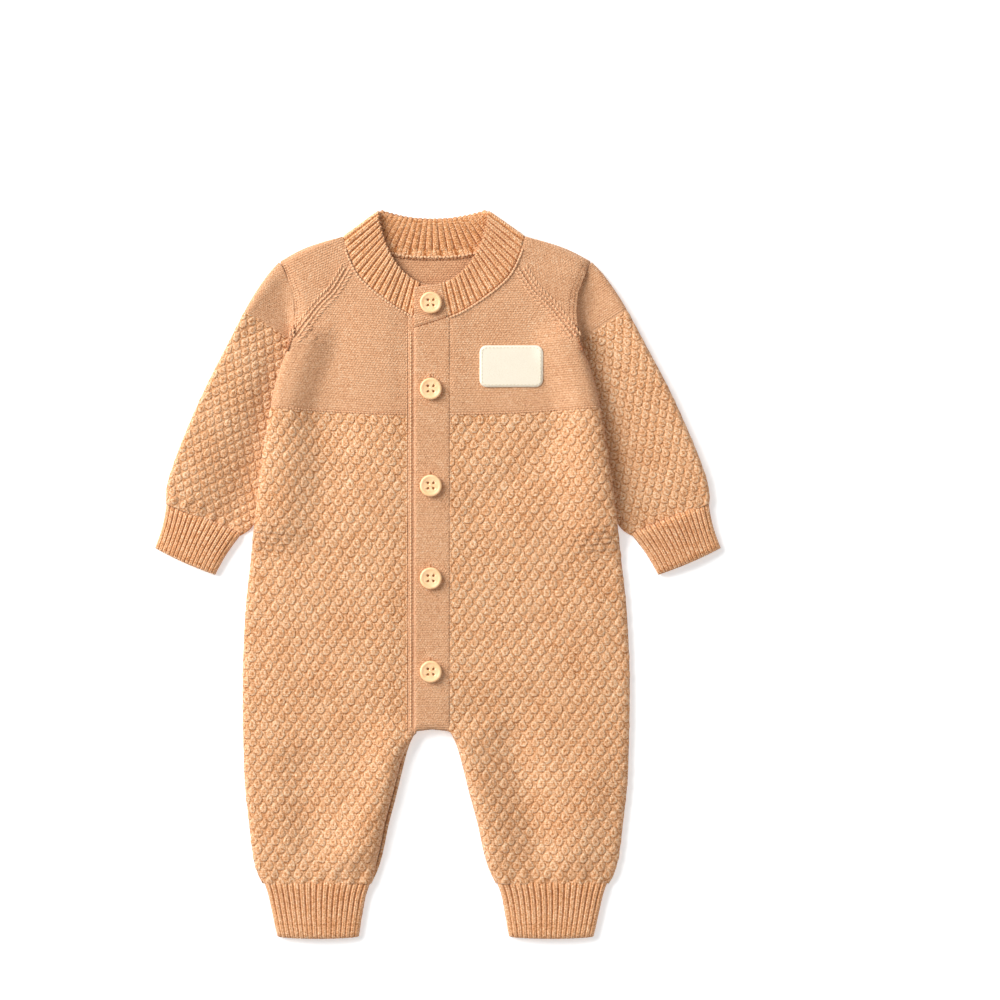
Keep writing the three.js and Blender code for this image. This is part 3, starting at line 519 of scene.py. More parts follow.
def sleeve(side):
    def surface(u, v):
        width = np.hypot(*(sleeve_plan(np.ones_like(v), v) - sleeve_plan(np.zeros_like(v), v)).T)
        roll = mix(SLEEVE_ROLL["head"], SLEEVE_ROLL["wrist"], smooth(0.02, 0.24, v))
        share, z, top = tube(u, width, lambda s: sleeve_height(s, v, side), roll)
        p = sleeve_plan(share, v)
        fabric = sleeve_fabric(p, side)
        puckers = 0.5 * np.sin(fabric[..., 0] / 1.8 + wobble(share * 60, v * 60)) * smooth(0.9, 0.985, v)
        line_of_seam = 0.45 * np.exp(-((fabric[..., 1] - 0.3) / 0.9) ** 2)
        fabric = knit_spot(fabric[..., 0], fabric[..., 1])
        sewn = smooth(0, 0.007, v) * smooth(1, 0.984, v)
        relief = (bubble_relief(fabric) + puckers) * sewn - 0.4 * (1 - sewn) - line_of_seam
        x, y = side * p[..., 0], p[..., 1]
        return place(x, y, z), fabric, (relief + 0.14 * wobble(x * 1.7, y * 1.7)) * top

    name = "left_sleeve_cloth" if side > 0 else "right_sleeve_cloth"
    return cloth(name, [(tube_columns(84, 12, 7), np.linspace(0, 1, 205), surface)], wall=WALL["sleeve"])


def rib(phase):
    """A rib of two columns of stitches on each whole number, with a groove beside it."""
    t = 2 * (phase - np.floor(phase)) - 1
    return np.sqrt(np.clip(1 - (t / 0.76) ** 2, 0, 1)) ** 0.7 - 0.16 * np.exp(-(t / 0.15) ** 2)


def ribbed(share, down, count, ends):
    """Relief of a cuff's ribs, flatter towards the hem, and their coordinate across."""
    phase = share * count + 0.16 * wobble(share * 90, down * 40) * np.sin(math.pi * np.clip(share, 0, 1))
    deep = (0.45 + 0.55 * ends) * mix(1, 0.6, smooth(0.3, 1, down))
    return RIB["depth"] * (rib(phase) - 0.62) * deep, phase * RIB["pitch"]


CUFF_ROWS = np.concatenate([[-0.09, -0.04], np.linspace(0, 1, 24)])


def cuff_height(share, down):
    """A cuff is a low dome across, tucked under the seam at its start and rounded off at its hem."""
    dome = 4.7 + 2.5 * np.sqrt(np.sin(math.pi * np.clip(share, 0.02, 0.98)))
    return dome - 2.0 * smooth(0.02, -0.09, down) - 1.3 * smooth(0.93, 1, down)


def tucked(down):
    """A cuff's first rows lie inside the cloth above, so its underside rises there."""
    return 1.6 * smooth(0, -0.04, down)


def sleeve_cuff(side):
    seam_in, seam_out, end_in, end_out = (np.array(WRIST[k], float) for k in (
        "seam_in", "seam_out", "end_in", "end_out"))

    def surface(u, v):
        inner, outer = between(seam_in, end_in, v), between(seam_out, end_out, v)
        width = np.hypot(*(outer - inner).T)
        share, z, top = tube(u, width, lambda s: cuff_height(s, v), 3)
        p = inner + (outer - inner) * share[..., None]
        waist = 1.1 * np.sin(math.pi * np.clip(v, 0, 1)) * (1 - 2 * share)
        bow = 0.9 * np.sin(math.pi * share) * smooth(0.5, 1, v)
        x, y = side * (p[..., 0] + waist + 0.35 * bow), p[..., 1] - bow
        ends = smooth(0, 0.1, v) * smooth(1, 0.95, v)
        relief, across = ribbed(share, v, RIB["sleeve"], ends)
        return place(x, y, np.maximum(z, tucked(v))), np.stack([across, -v * 31], -1), relief * top

    name = "left_wrist_rib" if side > 0 else "right_wrist_rib"
    return cloth(name, [(tube_columns(RIB["sleeve"] * 11, 24), CUFF_ROWS, surface)], wall=WALL["rib"])


def leg_cuff(side):
    outside, inside = edge(CUFF_OUTSIDE), edge(CUFF_INSIDE)

    def surface(u, v):
        y = mix(HEM, ANKLE, v)
        inner, outer = inside(y), outside(y)
        share, z, top = tube(u, outer - inner, lambda s: cuff_height(s, v) + 0.3 * smooth(0.4, 0, v), 3.2)
        x = side * (inner + (outer - inner) * share)
        ends = smooth(0, 0.1, v) * smooth(1, 0.95, v)
        relief, across = ribbed(share, v, RIB["leg"], ends)
        corner = 1.6 * (1 - np.sqrt(np.sin(math.pi * np.clip(share, 0.01, 0.99)))) * smooth(0.8, 1, v)
        return place(x, y + corner, np.maximum(z, tucked(v))), np.stack([across, y - HEM], -1), relief * top

    name = "left_ankle_rib" if side > 0 else "right_ankle_rib"
    return cloth(name, [(tube_columns(RIB["leg"] * 11, 24), CUFF_ROWS, surface)], wall=WALL["rib"])


COLLAR = {"fold": 3.4, "front_length": 104, "back_length": 66, "over_ribs": 16, "under_ribs": 15,
          "back_ribs": 11, "width": 27, "columns_per_rib": 11}
LAP = {"over": (0, 0.235), "under": (0.034, 0.262)}


def collar():
    """One ribbed strip, given as columns: where its two edges are, how far it is raised, and its ribs."""
    neck_front, seam_front = line(NECK_FRONT), line(SEAM_FRONT)
    neck_back, seam_back = line(NECK_BACK), line(SEAM_BACK)
    fold, per_rib = COLLAR["fold"], COLLAR["columns_per_rib"]
    front_end, back_start = 1 - fold / COLLAR["front_length"], fold / COLLAR["back_length"]

    def columns(side):
        start, plain = LAP["over"] if side > 0 else LAP["under"]
        ribs = COLLAR["over_ribs"] if side > 0 else COLLAR["under_ribs"]
        tab = np.linspace(start, plain, 26)[:-1]
        ribbed_part = np.linspace(plain, front_end, ribs * per_rib + 1)
        share = np.concatenate([tab, ribbed_part])
        phase = np.concatenate([
            (tab - plain) / 0.05, np.linspace(0.34 * (side > 0), ribs, ribs * per_rib + 1)])
        lift, front_part = np.ones_like(share), np.ones_like(share)
        q = np.radians(np.linspace(90, -90, 15))[1:-1]
        inward = fold * (1 - np.cos(q))
        fold_share = np.where(q < 0, inward / COLLAR["back_length"], 1 - inward / COLLAR["front_length"])
        back_share = np.linspace(back_start, 1, COLLAR["back_ribs"] * per_rib + 1)
        share = np.concatenate([share, fold_share, back_share])
        phase = np.concatenate([phase, ribs + (90 - np.degrees(q)) / 180,
                                ribs + 1 + np.linspace(0, COLLAR["back_ribs"], len(back_share))])
        lift = np.concatenate([lift, (1 + np.sin(q)) / 2, np.zeros_like(back_share)])
        front_part = np.concatenate([front_part, np.where(q < 0, 0, 1), np.zeros_like(back_share)])
        seam = np.where(front_part[:, None] > 0, seam_front(share), seam_back(share))
        neck = np.where(front_part[:, None] > 0, neck_front(share), neck_back(share))
        side_of = np.full_like(share, side)
        return {"seam": seam, "neck": neck, "lift": lift, "phase": phase, "side": side_of,
                "tab": np.concatenate([np.ones(len(tab)), np.zeros(len(share) - len(tab))])}

    under, over = columns(-1), columns(1)
    total = under["phase"][-1] + over["phase"][-1]
    over["phase"] = total - over["phase"]
    strip = {key: np.concatenate([under[key], over[key][::-1][1:]]) for key in under}
    corner_level = {side: front_level(np.array([63.0]), np.array([234.0]))[0] for side in (-1, 1)}

    def surface(u, v):
        k = u.astype(int)
        side, lift, phase = strip["side"][k], strip["lift"][k], strip["phase"][k]
        p = between(strip["seam"][k], strip["neck"][k], v)
        x, y = p[..., 0], p[..., 1]
        rise = np.where(side > 0, band_rise(np.maximum(x, BAND["right"]), 1), band_rise(np.maximum(
            x, BAND["right"]), -1))
        top = front_level(x, y) + rise - 0.4 * v
        top = np.where(lift > 0.99, top, corner_level[1] - 0.4 * v)
        on_front = lift > 0.5
        edges = smooth(0, 0.09, v) * smooth(1, 0.94, v)
        plain = strip["tab"][k]
        height = np.where(plain > 0, 0.55, rib(phase))
        front_relief = RIB["depth"] * (height - 0.62) * (0.4 + 0.6 * edges) - 0.3 * (1 - smooth(0, 0.07, v))
        linking = 0.5 + 0.5 * np.cos(phase * 2 * math.pi * 1.5)
        knobs = 0.35 + 0.5 * linking * np.sin(math.pi * np.clip(v / 0.24, 0, 1))
        back_height = np.where(v < 0.24, knobs, 1 - rib(phase + 0.5))
        back_relief = -RIB["depth"] * np.clip(back_height, 0, 1) * smooth(1, 0.95, v)
        relief = np.where(on_front, front_relief, back_relief * smooth(0.5, 0, lift))
        # The back part's mark of 400 has the rib material darken it as painted shade.
        mark = np.where(plain > 0, 200, np.where(lift < 0.5, 400, 0))  # whole ribs, read by the material
        fabric = np.stack([(phase + mark) * RIB["pitch"], v * COLLAR["width"]], -1)
        return place(side * x, y, lift * top), fabric, relief

    return cloth("collar_band", [(np.arange(len(strip["lift"])), np.linspace(0, 1, 20), surface)], facing=1,
                 wall=WALL["collar"], weld=0.0005)


def front_seam_y(x):
    points = np.array(SEAM_FRONT)
    return np.interp(x, points[:, 0], points[:, 1])


def arch_y(x):
    heights = np.linspace(INSEAM[0][0], -124, 90)
    return np.interp(np.abs(x), inseam_x(heights), heights)


def band(name, left, right, mirror, level, wall, rolled_left):
    """A plain front band from the collar to the arch between the legs."""

    def surface(u, v):
        x = mix(left, right, u)
        top, bottom = front_seam_y(mirror * x), np.maximum(arch_y(x), ARCH_END["y"])
        y = mix(top, bottom, v)
        near_left = (x - left) / rolled_left
        round_left = 1 - np.sqrt(np.clip(1 - np.clip(1 - near_left, 0, 1) ** 2, 0, 1))
        round_end = smooth(4, 0, y - bottom)
        seam = smooth(0, 1.6, right - x)
        z = level(x, y) - 1.3 * round_left - 1.4 * round_end
        relief = 0.14 * wobble(x * 3, y * 2) - 0.2 * (1 - seam)
        return place(x, y, z), np.stack([x, y], -1), relief

    edge_columns = np.linspace(0, rolled_left / (right - left), 5)[:-1]
    us = np.concatenate([edge_columns, np.linspace(edge_columns[-1] + 0.03, 1, 22)])
    return cloth(name, [(us, np.linspace(0, 1, 170), surface)], facing=1, wall=wall)


def band_over():
    return band("band_over", BAND["left"], BAND["right"] + 0.7, 1,
                lambda x, y: front_level(x, y) + BAND_RISE["over"], WALL["band"], 2.2)


def band_beneath():
    return band("band_beneath", BAND["under_left"], BAND["under_right"], -1,
                lambda x, y: front_level(x, y) + BAND_RISE["under"], WALL["band"] - 0.2, 0.8)


def patch():
    """A plain rounded patch, a little pillowed, on the left front."""
    half_x, half_y, corner = PATCH["half_width"], PATCH["half_height"], PATCH["corner"]

    def surface(u, v):
        dx = u * half_x
        past = np.clip(np.abs(dx) - (half_x - corner), 0, None)
        half = half_y - corner + np.sqrt(np.clip(corner ** 2 - past ** 2, 0.01, None))
        x, y = PATCH["x"] + dx, PATCH["y"] + v * half
        inset = np.minimum(half_x - np.abs(dx), half * (1 - np.abs(v)))
        z = front_level(x, y) + band_rise(np.abs(x), 1) + 1.45 - 0.75 * smooth(1.4, 0, inset)
        return place(x, y, z), np.stack([x, y], -1), 0.12 * smooth(0, 6, inset) + 0.05 * wobble(x * 4, y * 4)

    us = np.sin(np.linspace(-1, 1, 61) * math.pi / 2)
    return cloth("chest_patch", [(us, np.linspace(-1, 1, 41), surface)], facing=1, wall=WALL["patch"])


def button(index):
    """A dished disc with a rounded rim and four holes, turned about its own axis."""
    low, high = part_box(f"button_{index}")
    radius, height = BUTTON["radius"], BUTTON["height"]
    profile = [(0, 0), (radius - 1.1, 0), (radius - 0.3, 0.25), (radius, 0.95), (radius, height - 1.0),
               (radius - 0.3, height - 0.35), (radius - 0.95, height - 0.05), (radius - 1.5, height - 0.08),
               (radius - 2.1, height - 0.38), (radius - 2.9, height - 0.52), (0, height - 0.55)]
    bm = bmesh.new()
    verts = [bm.verts.new((x * MM, 0, z * MM)) for x, z in profile]
    edges = [bm.edges.new(pair) for pair in zip(verts, verts[1:])]
    bmesh.ops.spin(bm, geom=verts + edges, cent=(0, 0, 0), axis=(0, 0, 1), angle=2 * math.pi, steps=56,
                   use_merge=True)
    bmesh.ops.remove_doubles(bm, verts=bm.verts, dist=1e-6)
    bmesh.ops.recalc_face_normals(bm, faces=bm.faces)
    centre = (Vector(low) + Vector(high)) / 2
    bmesh.ops.translate(bm, verts=bm.verts, vec=(centre.x, centre.y, low[2]))
    disc = new_object(f"button_disc_{index}", bm)
    drills = bmesh.new()
    for sx in (-1, 1):
        for sy in (-1, 1):
            at = (centre.x + sx * BUTTON["spread"] * MM, centre.y + sy * BUTTON["spread"] * MM, centre.z)
            bmesh.ops.create_cone(drills, cap_ends=True, segments=14, radius1=BUTTON["hole"] * MM,
                                  radius2=BUTTON["hole"] * MM, depth=8 * MM, matrix=Matrix.Translation(at))
    cutter = new_object(f"drills_{index}", drills)
    cut = disc.modifiers.new("holes", "BOOLEAN")
    cut.object = cutter
    cut.operation = "DIFFERENCE"
    cut.solver = "EXACT"
    apply_modifiers(disc)
    bpy.data.objects.remove(cutter)
    return disc


def apply_modifiers(piece):
    view = bpy.context.evaluated_depsgraph_get()
    mesh = bpy.data.meshes.new_from_object(piece.evaluated_get(view))
    piece.modifiers.clear()
    piece.data = mesh


def stitches(name, spots, length, width, height):
    """Many small stitches joined in one mesh. Each spot has a place in millimetres and a direction."""
    bm = bmesh.new()
    for (x, y, z), angle in spots:
        at = place(np.float64(x), np.float64(y), np.float64(z))
        shape = Matrix.Translation(at) @ Matrix.Rotation(angle, 4, "Z") @ Matrix.Diagonal(
            (length / 2 * MM, width / 2 * MM, height / 2 * MM, 1))
        bmesh.ops.create_uvsphere(bm, u_segments=8, v_segments=5, radius=1, matrix=shape)
    return new_object(name, bm)


def spaced(points, step, start=0.5):
    """Even spots along a line of points, with the line's direction at each."""
    fine = np.array(points, float)
    run = np.concatenate([[0], np.cumsum(np.hypot(*np.diff(fine[:, :2], axis=0).T))])
    at = np.arange(step * start, run[-1], step)
    xy = np.stack([np.interp(at, run, fine[:, k]) for k in (0, 1)], -1)
    ahead = np.stack([np.interp(np.clip(at + 0.3, 0, run[-1]), run, fine[:, k]) for k in (0, 1)], -1)
    behind = np.stack([np.interp(np.clip(at - 0.3, 0, run[-1]), run, fine[:, k]) for k in (0, 1)], -1)
    way = ahead - behind
    return xy, np.arctan2(way[:, 1], way[:, 0])


def chain(name, points, level, step=2.4, length=2.3, width=1.0, height=0.8, turn=0.25):
    """A row of linked stitches along a seam."""
    xy, angles = spaced(points, step)
    z = level(xy[:, 0], xy[:, 1])
    spots = [((x, y, h), a + (turn if k % 2 else -turn)) for k, (x, y, h, a) in enumerate(
        zip(xy[:, 0], xy[:, 1], z, angles))]
    return stitches(name, spots, length, width, height)


# Materials
class Value:
    """A shader value: sums, products and the like of values add Math nodes."""

    def __init__(self, tree, socket):
        self.tree, self.socket = tree, socket

    def node(self, kind, settings=None, inputs=None, output=0):
        made = self.tree.nodes.new(kind)
        for key, setting in (settings or {}).items():
            if key == "stops":
                for stop, (at, colour) in zip(made.color_ramp.elements, setting):
                    stop.position, stop.color = at, colour
                for at, colour in setting[2:]:
                    made.color_ramp.elements.new(at).color = colour
            else:
                setattr(made, key, setting)
        for key, value in (inputs or {}).items():
            if isinstance(value, Value):
                self.tree.links.new(value.socket, made.inputs[key])
            else:
                made.inputs[key].default_value = value
        return Value(self.tree, made.outputs[output])

    def math(self, operation, *values):
        return self.node("ShaderNodeMath", {"operation": operation}, dict(enumerate((self, *values))))

    def __add__(self, other):
        return self.math("ADD", other)

    def __sub__(self, other):
        return self.math("SUBTRACT", other)

    def __rsub__(self, other):
        return self.math("MULTIPLY_ADD", -1.0, other)

    def __mul__(self, other):
        return self.math("MULTIPLY", other)

    def __truediv__(self, other):
        return self.math("DIVIDE", other)

    def __mod__(self, other):
        return self.math("FLOORED_MODULO", other)

    def __floordiv__(self, other):
        return self.math("DIVIDE", other).math("FLOOR")

    def __rtruediv__(self, other):
        return (self ** -1.0) * other

    def __pow__(self, other):
        return self.math("POWER", other)

    def __abs__(self):
        return self.math("ABSOLUTE")

    def __gt__(self, other):
        return self.math("GREATER_THAN", other)

    def __lt__(self, other):
        return self.math("LESS_THAN", other)

    __radd__, __rmul__ = __add__, __mul__

    def wave(self):
        """The sine of the value."""
        return self.math("SINE")

    def clamp(self):
        return self.math("MAXIMUM", 0.0).math("MINIMUM", 1.0)

    def ramp(self, low, high):
        """0 below low, 1 above high, smooth between; or the other way round."""
        rising = low <= high
        return self.node("ShaderNodeMapRange", {"interpolation_type": "SMOOTHSTEP"}, {
            "Value": self, "From Min": min(low, high), "From Max": max(low, high),
            "To Min": 0.0 if rising else 1.0, "To Max": 1.0 if rising else 0.0})

    def blend(self, first, second):
        """A mix of two colours by this factor."""
        made = self.tree.nodes.new("ShaderNodeMix")
        made.data_type = "RGBA"
        made.clamp_factor = True
        self.tree.links.new(self.socket, made.inputs["Factor"])
        for key, value in ((6, first), (7, second)):
            if isinstance(value, Value):
                self.tree.links.new(value.socket, made.inputs[key])
            else:
                made.inputs[key].default_value = value
        return Value(self.tree, made.outputs[2])


def linear(red, green, blue):
    """A colour of 0 to 255 in the shader's own scale."""
    return (*[(c / 255 / 12.92) if c < 10.4 else ((c / 255 + 0.055) / 1.055) ** 2.4
              for c in (red, green, blue)], 1.0)


class Finish:
    """A material with its coordinates at hand: the cloth's own, in millimetres, and the object's."""

    def __init__(self, name, roughness, sheen=0.0, specular=0.3):
        self.material = bpy.data.materials.new(name)
        self.material.use_nodes = True
        tree = self.material.node_tree
        self.shader = tree.nodes["Principled BSDF"]
        self.shader.inputs["Roughness"].default_value = roughness
        self.shader.inputs["Specular IOR Level"].default_value = specular
        self.shader.inputs["Sheen Weight"].default_value = sheen
        self.shader.inputs["Sheen Roughness"].default_value = 0.5
        self.tree = tree
        self.start = Value(tree, None)
        self.object = self.start.node("ShaderNodeTexCoord", output=3)

    def fabric(self):
        parts = self.start.node("ShaderNodeUVMap", {"uv_map": "fabric"})
        u = self.start.node("ShaderNodeSeparateXYZ", {}, {0: parts})
        return u, Value(self.tree, u.socket.node.outputs[1])

    def noise(self, scale, detail=2.0, roughness=0.5, stretch=(1, 1, 1)):
        """Noise about 0, mostly within 0.3 of it."""
        at = self.start.node("ShaderNodeVectorMath", {"operation": "MULTIPLY"}, {0: self.object, 1: stretch})
        return self.start.node("ShaderNodeTexNoise", {}, {
            "Vector": at, "Scale": scale, "Detail": detail, "Roughness": roughness}) - 0.5

    def finish(self, colour, height=None, depth=0.0, strength=1.0):
        self.tree.links.new(colour.socket, self.shader.inputs["Base Color"])
        if height is not None:
            bump = self.start.node("ShaderNodeBump", {}, {
                "Height": height, "Distance": depth, "Strength": strength})
            self.tree.links.new(bump.socket, self.shader.inputs["Normal"])
        return self.material


def plain_stitch(u, v, wale=WALE, course=COURSE):
    """Rows of small loops, each row shifted by half a loop, about 0 and within 1 of it."""
    loops = (u * (2 * math.pi / wale)).wave() * (v * (math.pi / course)).wave()
    return loops * 0.45 + (v * (2 * math.pi / course)).wave() * 0.6


def yarn(finish, tone, evenness=0.0):
    """Camel yarn by tone, from painted shade between stitches at 0 to lit fibres at 1. evenness calms it."""
    fine = finish.noise(900, 2.0, 0.75)
    rows = finish.noise(620, 2.0, 0.6, stretch=(0.6, 1.3, 1.0))
    cloudy = finish.noise(45, 3.0, 0.55)
    tone = tone + fine * 1.75 + rows * 0.5 + cloudy * 0.25
    colour = tone.clamp().node("ShaderNodeValToRGB", {"stops": [
        (0.0, linear(158, 86, 35)), (1.0, linear(255, 225, 188)), (0.3, linear(205, 136, 81)),
        (0.62, linear(238, 180, 132))]}, {0: tone})
    return tone.node("ShaderNodeMix", {"data_type": "RGBA"}, {
        0: evenness, 6: colour, 7: linear(204, 159, 126)}, 2)


def knit(name, shade=0.0):
    """Plain knit on the yoke, and bubble stitch below the line where v is 0. shade is the strength of
    painted shade on the cloth's inner face inside the neck opening.
    """
    finish = Finish(name, 0.92, sheen=0.2)
    u, v = finish.fabric()
    near, up = bubble(u + finish.noise(170) * 3.2, v + finish.noise(190) * 2.6)
    inside = near.ramp(1.02, 0.84)
    outline = 1 - (abs(near - 1.08) / 0.18).clamp()
    pit = near.ramp(0.36, 0.12)
    rim = near.ramp(0.4, 0.62) * inside
    tie = near.ramp(1.28, 1.5)
    below = v.ramp(0.3, -0.9)
    stitch = plain_stitch(u, v)
    # Painted shade and light on each puff: the outline between puffs and the pit in its middle are darkened,
    # the outline most on the puff's lower half, and the rim is lightened.
    lower = (0.62 - up * 0.14).clamp()
    bubble_tone = (0.54 + inside * 0.04 + rim * 0.1 - pit * 0.24 - outline * lower * 0.3 + tie * 0.13
                   + stitch * 0.08)
    tone = below * bubble_tone + (1 - below) * (stitch * 0.12 + 0.5)
    # Painted shade: darker from y 0.165 m and z 1.2 mm up, where the back's inner face lies deep in the neck
    # opening under the collar.
    if shade:
        place_of = finish.object.node("ShaderNodeSeparateXYZ", {}, {0: finish.object}).socket.node.outputs
        y, z = (Value(finish.tree, place_of[k]) for k in (1, 2))
        tone = tone - y.ramp(0.165, 0.19) * z.ramp(0.0012, 0.002) * shade
    fibres = finish.noise(1300, 2.0, 0.7)
    bubble_height = inside * 0.4 + rim * 0.25 - pit * 0.35 + tie * 0.3 + fibres * 1.8 + stitch * 0.12
    height = below * bubble_height + (1 - below) * (stitch * 0.3 + fibres * 1.1)
    return finish.finish(yarn(finish, tone, (1 - below) * EVEN), height, 0.0008, 0.9)


def plain():
    """Fine plain knit of the bands and the shoulders."""
    finish = Finish("camel_plain_knit", 0.92, sheen=0.2)
    u, v = finish.fabric()
    stitch = plain_stitch(u, v)
    fibres = finish.noise(1300, 2.0, 0.7)
    return finish.finish(yarn(finish, stitch * 0.12 + 0.5, EVEN), stitch * 0.3 + fibres * 1.3, 0.0008, 0.9)


def rib_knit():
    """Rib knit: two columns of stitches up each rib, with painted shade in the grooves between them and
    between the columns.
    """
    finish = Finish("camel_rib_knit", 0.92, sheen=0.2)
    u, v = finish.fabric()
    across = abs((u / RIB["pitch"]).math("FRACT") - 0.5) * 2
    tab = u.ramp(860, 861) * u.ramp(1501, 1500)
    # inside marks the collar's back part, which is darkened as painted shade where it lies in the neck
    # opening.
    inside = u.ramp(1500, 1501)
    ridge = across.ramp(0.98, 0.62)
    between_columns = across.ramp(0.2, 0.05)
    legs = (v * (2 * math.pi / 1.5) + across * 5.0).wave()
    deep = v.ramp(-33.0, -12.0) * 0.4 + 0.6
    # Painted shade in the grooves, weaker towards a cuff's hem and deeper on the collar's back part.
    groove = (1 - ridge) * deep * (0.42 + inside * 0.06)
    hem = v.ramp(-27.0, -27.6) * v.ramp(-29.2, -28.4) * 0.1
    rib_tone = 0.6 - groove - between_columns * 0.12 + legs * ridge * 0.06 - inside * 0.06 - hem
    stitch = plain_stitch(u, v)
    tone = tab * (stitch * 0.12 + 0.5) + (1 - tab) * (rib_tone - 0.03)
    fibres = finish.noise(1300, 2.0, 0.7)
    rib_height = ridge * 0.5 - between_columns * 0.4 + legs * ridge * 0.12
    height = tab * stitch * 0.3 + (1 - tab) * rib_height + fibres * 1.1
    return finish.finish(yarn(finish, tone, tab * EVEN), height, 0.0008, 0.9)


def cream_cloth():
    """Matte cream weave of the patch."""
    finish = Finish("cream_cloth", 0.85, sheen=0.2)
    u, v = finish.fabric()
    over = (u * (2 * math.pi / 0.9)).wave() * (v * (2 * math.pi / 0.9)).wave()
    height = over * 0.3 + finish.noise(1500, 2.0, 0.6)
    colour = (height * 0.8 + 0.6).clamp().blend(linear(230, 217, 193), linear(245, 236, 218))
    return finish.finish(colour, height, 0.0004, 0.7)


def button_plastic():
    """Cream plastic with a faint cloudy grain and a satin gloss."""
    finish = Finish("cream_plastic", 0.34, specular=0.5)
    finish.shader.inputs["Subsurface Weight"].default_value = 0.08
    finish.shader.inputs["Subsurface Radius"].default_value = (0.004, 0.003, 0.0015)
    cloud = finish.noise(170, 3.0, 0.55)
    fine = finish.noise(900, 2.0, 0.5)
    colour = cloud.ramp(-0.15, 0.2).blend(linear(251, 200, 147), linear(255, 213, 165))
    return finish.finish(colour, fine, 0.00005, 0.5)


def thread(name, dark, light):
    finish = Finish(name, 0.85, sheen=0.3)
    twist = finish.noise(2200, 2.0, 0.6)
    return finish.finish(twist.ramp(-0.15, 0.15).blend(dark, light), twist, 0.0004, 0.8)


def paper():
    """The pale floor."""
    finish = Finish("pale_floor", 0.9, specular=0.1)
    finish.shader.inputs["Emission Color"].default_value = (1, 1, 1, 1)
    finish.shader.inputs["Emission Strength"].default_value = 0.3
    cloud = finish.noise(3, 2.0).ramp(-0.3, 0.4)
    return finish.finish(cloud.blend(linear(250, 250, 250), linear(253, 253, 253)))


# Camera and light
def camera():
    """Straight above, at the photograph's framing."""
    distance, view_width, middle = 3.0, 0.693, (0.043, 0.0516)
    data = bpy.data.cameras.new("camera")
    data.sensor_width = 36
    data.lens = data.sensor_width * distance / view_width
    data.clip_end = 20
    made = bpy.data.objects.new("camera", data)
    made.location = (*middle, distance)
    bpy.context.scene.collection.objects.link(made)
    bpy.context.scene.camera = made


def light(name, place_at, size, power, aim=(0, 0, 0)):
    data = bpy.data.lights.new(name, "AREA")
    data.size, data.energy = size, power
    made = bpy.data.objects.new(name, data)
    made.location = place_at
    made.rotation_euler = (Vector(aim) - Vector(place_at)).to_track_quat("-Z", "Y").to_euler()
    bpy.context.scene.collection.objects.link(made)


def studio():
    light("key", (-2.3, 1.5, 1.6), 2.3, 180)
    light("fill", (1.6, -1.4, 2.2), 2.4, 16)
    world = bpy.data.worlds.new("studio")
    world.use_nodes = True
    world.node_tree.nodes["Background"].inputs["Color"].default_value = (1, 1, 1, 1)
    world.node_tree.nodes["Background"].inputs["Strength"].default_value = 0.36
    bpy.context.scene.world = world
    bpy.context.scene.view_settings.view_transform = "Standard"
    bm = bmesh.new()
    bmesh.ops.create_grid(bm, x_segments=1, y_segments=1, size=4)
    bmesh.ops.translate(bm, verts=bm.verts, vec=(0, 0, -0.05 * MM))
    floor = new_object("floor", bm)
    floor.data.materials.append(paper())


# The garment
def dress(piece, material, nodes=(), flat=None, stretch=1.0):
    """Gives a piece its material and body and hides the nodes that it replaces. Rib knit is cut wider than
    it lies by its stretch;
    the cut's area is worked out from flat but not kept."""
    piece.data.materials.append(material)
    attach(piece, "root")
    if nodes:
        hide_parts(*nodes)
    if flat:
        width, length = (size * MM for size in flat)
        min(piece["cut_area"] * stretch, width * length)
    return piece


def front_top(x, y):
    """The visible front's surface beside the buttons' bands."""
    return front_level(x, y) + np.where(x > 0, band_rise(np.abs(x), 1), band_rise(np.abs(x), -1))


def raglan_points(side, shift):
    """The slanting front seam, moved sideways."""
    return [(side * (float(raglan_x(y)) + shift), y) for y in np.linspace(212, 164, 60)]


def raglan_marks(side):
    """Short slanting stitches where the knit narrows beside the slanting seam."""
    spots = []
    xy, angles = spaced(raglan_points(side, 0), 3.1)
    for (x, y), angle in zip(xy, angles):
        for shift, turn in ((-4.4, 0.55), (3.9, -0.4)):
            at = (x + side * shift * abs(math.sin(angle)), y + shift * abs(math.cos(angle)))
            z = float(front_top(np.float64(at[0]), np.float64(at[1]))) + 0.15
            spots.append(((*at, z), angle + side * turn))
    return stitches(f"narrowing_{side}", spots, 3.8, 1.15, 1.0)


def join(name, pieces):
    """Joins meshes in one named piece."""
    bm = bmesh.new()
    for piece in pieces:
        bm.from_mesh(piece.data)
        bpy.data.objects.remove(piece)
    return new_object(name, bm)


def seams(side):
    """The stitches along one side's seams."""
    label = "left" if side > 0 else "right"

    def upon(extra):
        return lambda x, y: front_top(x, y) + extra

    rows = [chain(name, raglan_points(side, shift), upon(0.05), 2.5, 2.7, 1.45, 1.25)
            for name, shift in (("raglan_a", -2.1), ("raglan_b", 1.5))]
    rows.append(raglan_marks(side))
    beside_bands = line([p for p in SEAM_FRONT if p[0] > 9])
    neck = [(side * x * 1.012, y - 0.9) for x, y in beside_bands(np.linspace(0.02, 0.9, 80))]
    rows.append(chain("neck", neck, upon(0.3), 2.3, 2.5, 1.8, 1.5))
    start = BAND["right"] + 1.0 if side > 0 else -BAND["under_left"] + 0.6
    yoke = [(side * x, float(yoke_line(x, 110.0)) + 0.4) for x in np.linspace(start + 1, 112, 90)]
    rows.append(chain("yoke", yoke, upon(0.05), 2.05, 1.6, 0.85, 0.9, 0.12))
    down = [(side * start, y) for y in np.linspace(176 if side > 0 else 172, -108, 200)]
    rows.append(chain("front", down, upon(-0.25), 2.2, 1.7, 0.8, 0.8, 0.5))
    return join(f"{label}_seam_stitches", rows)


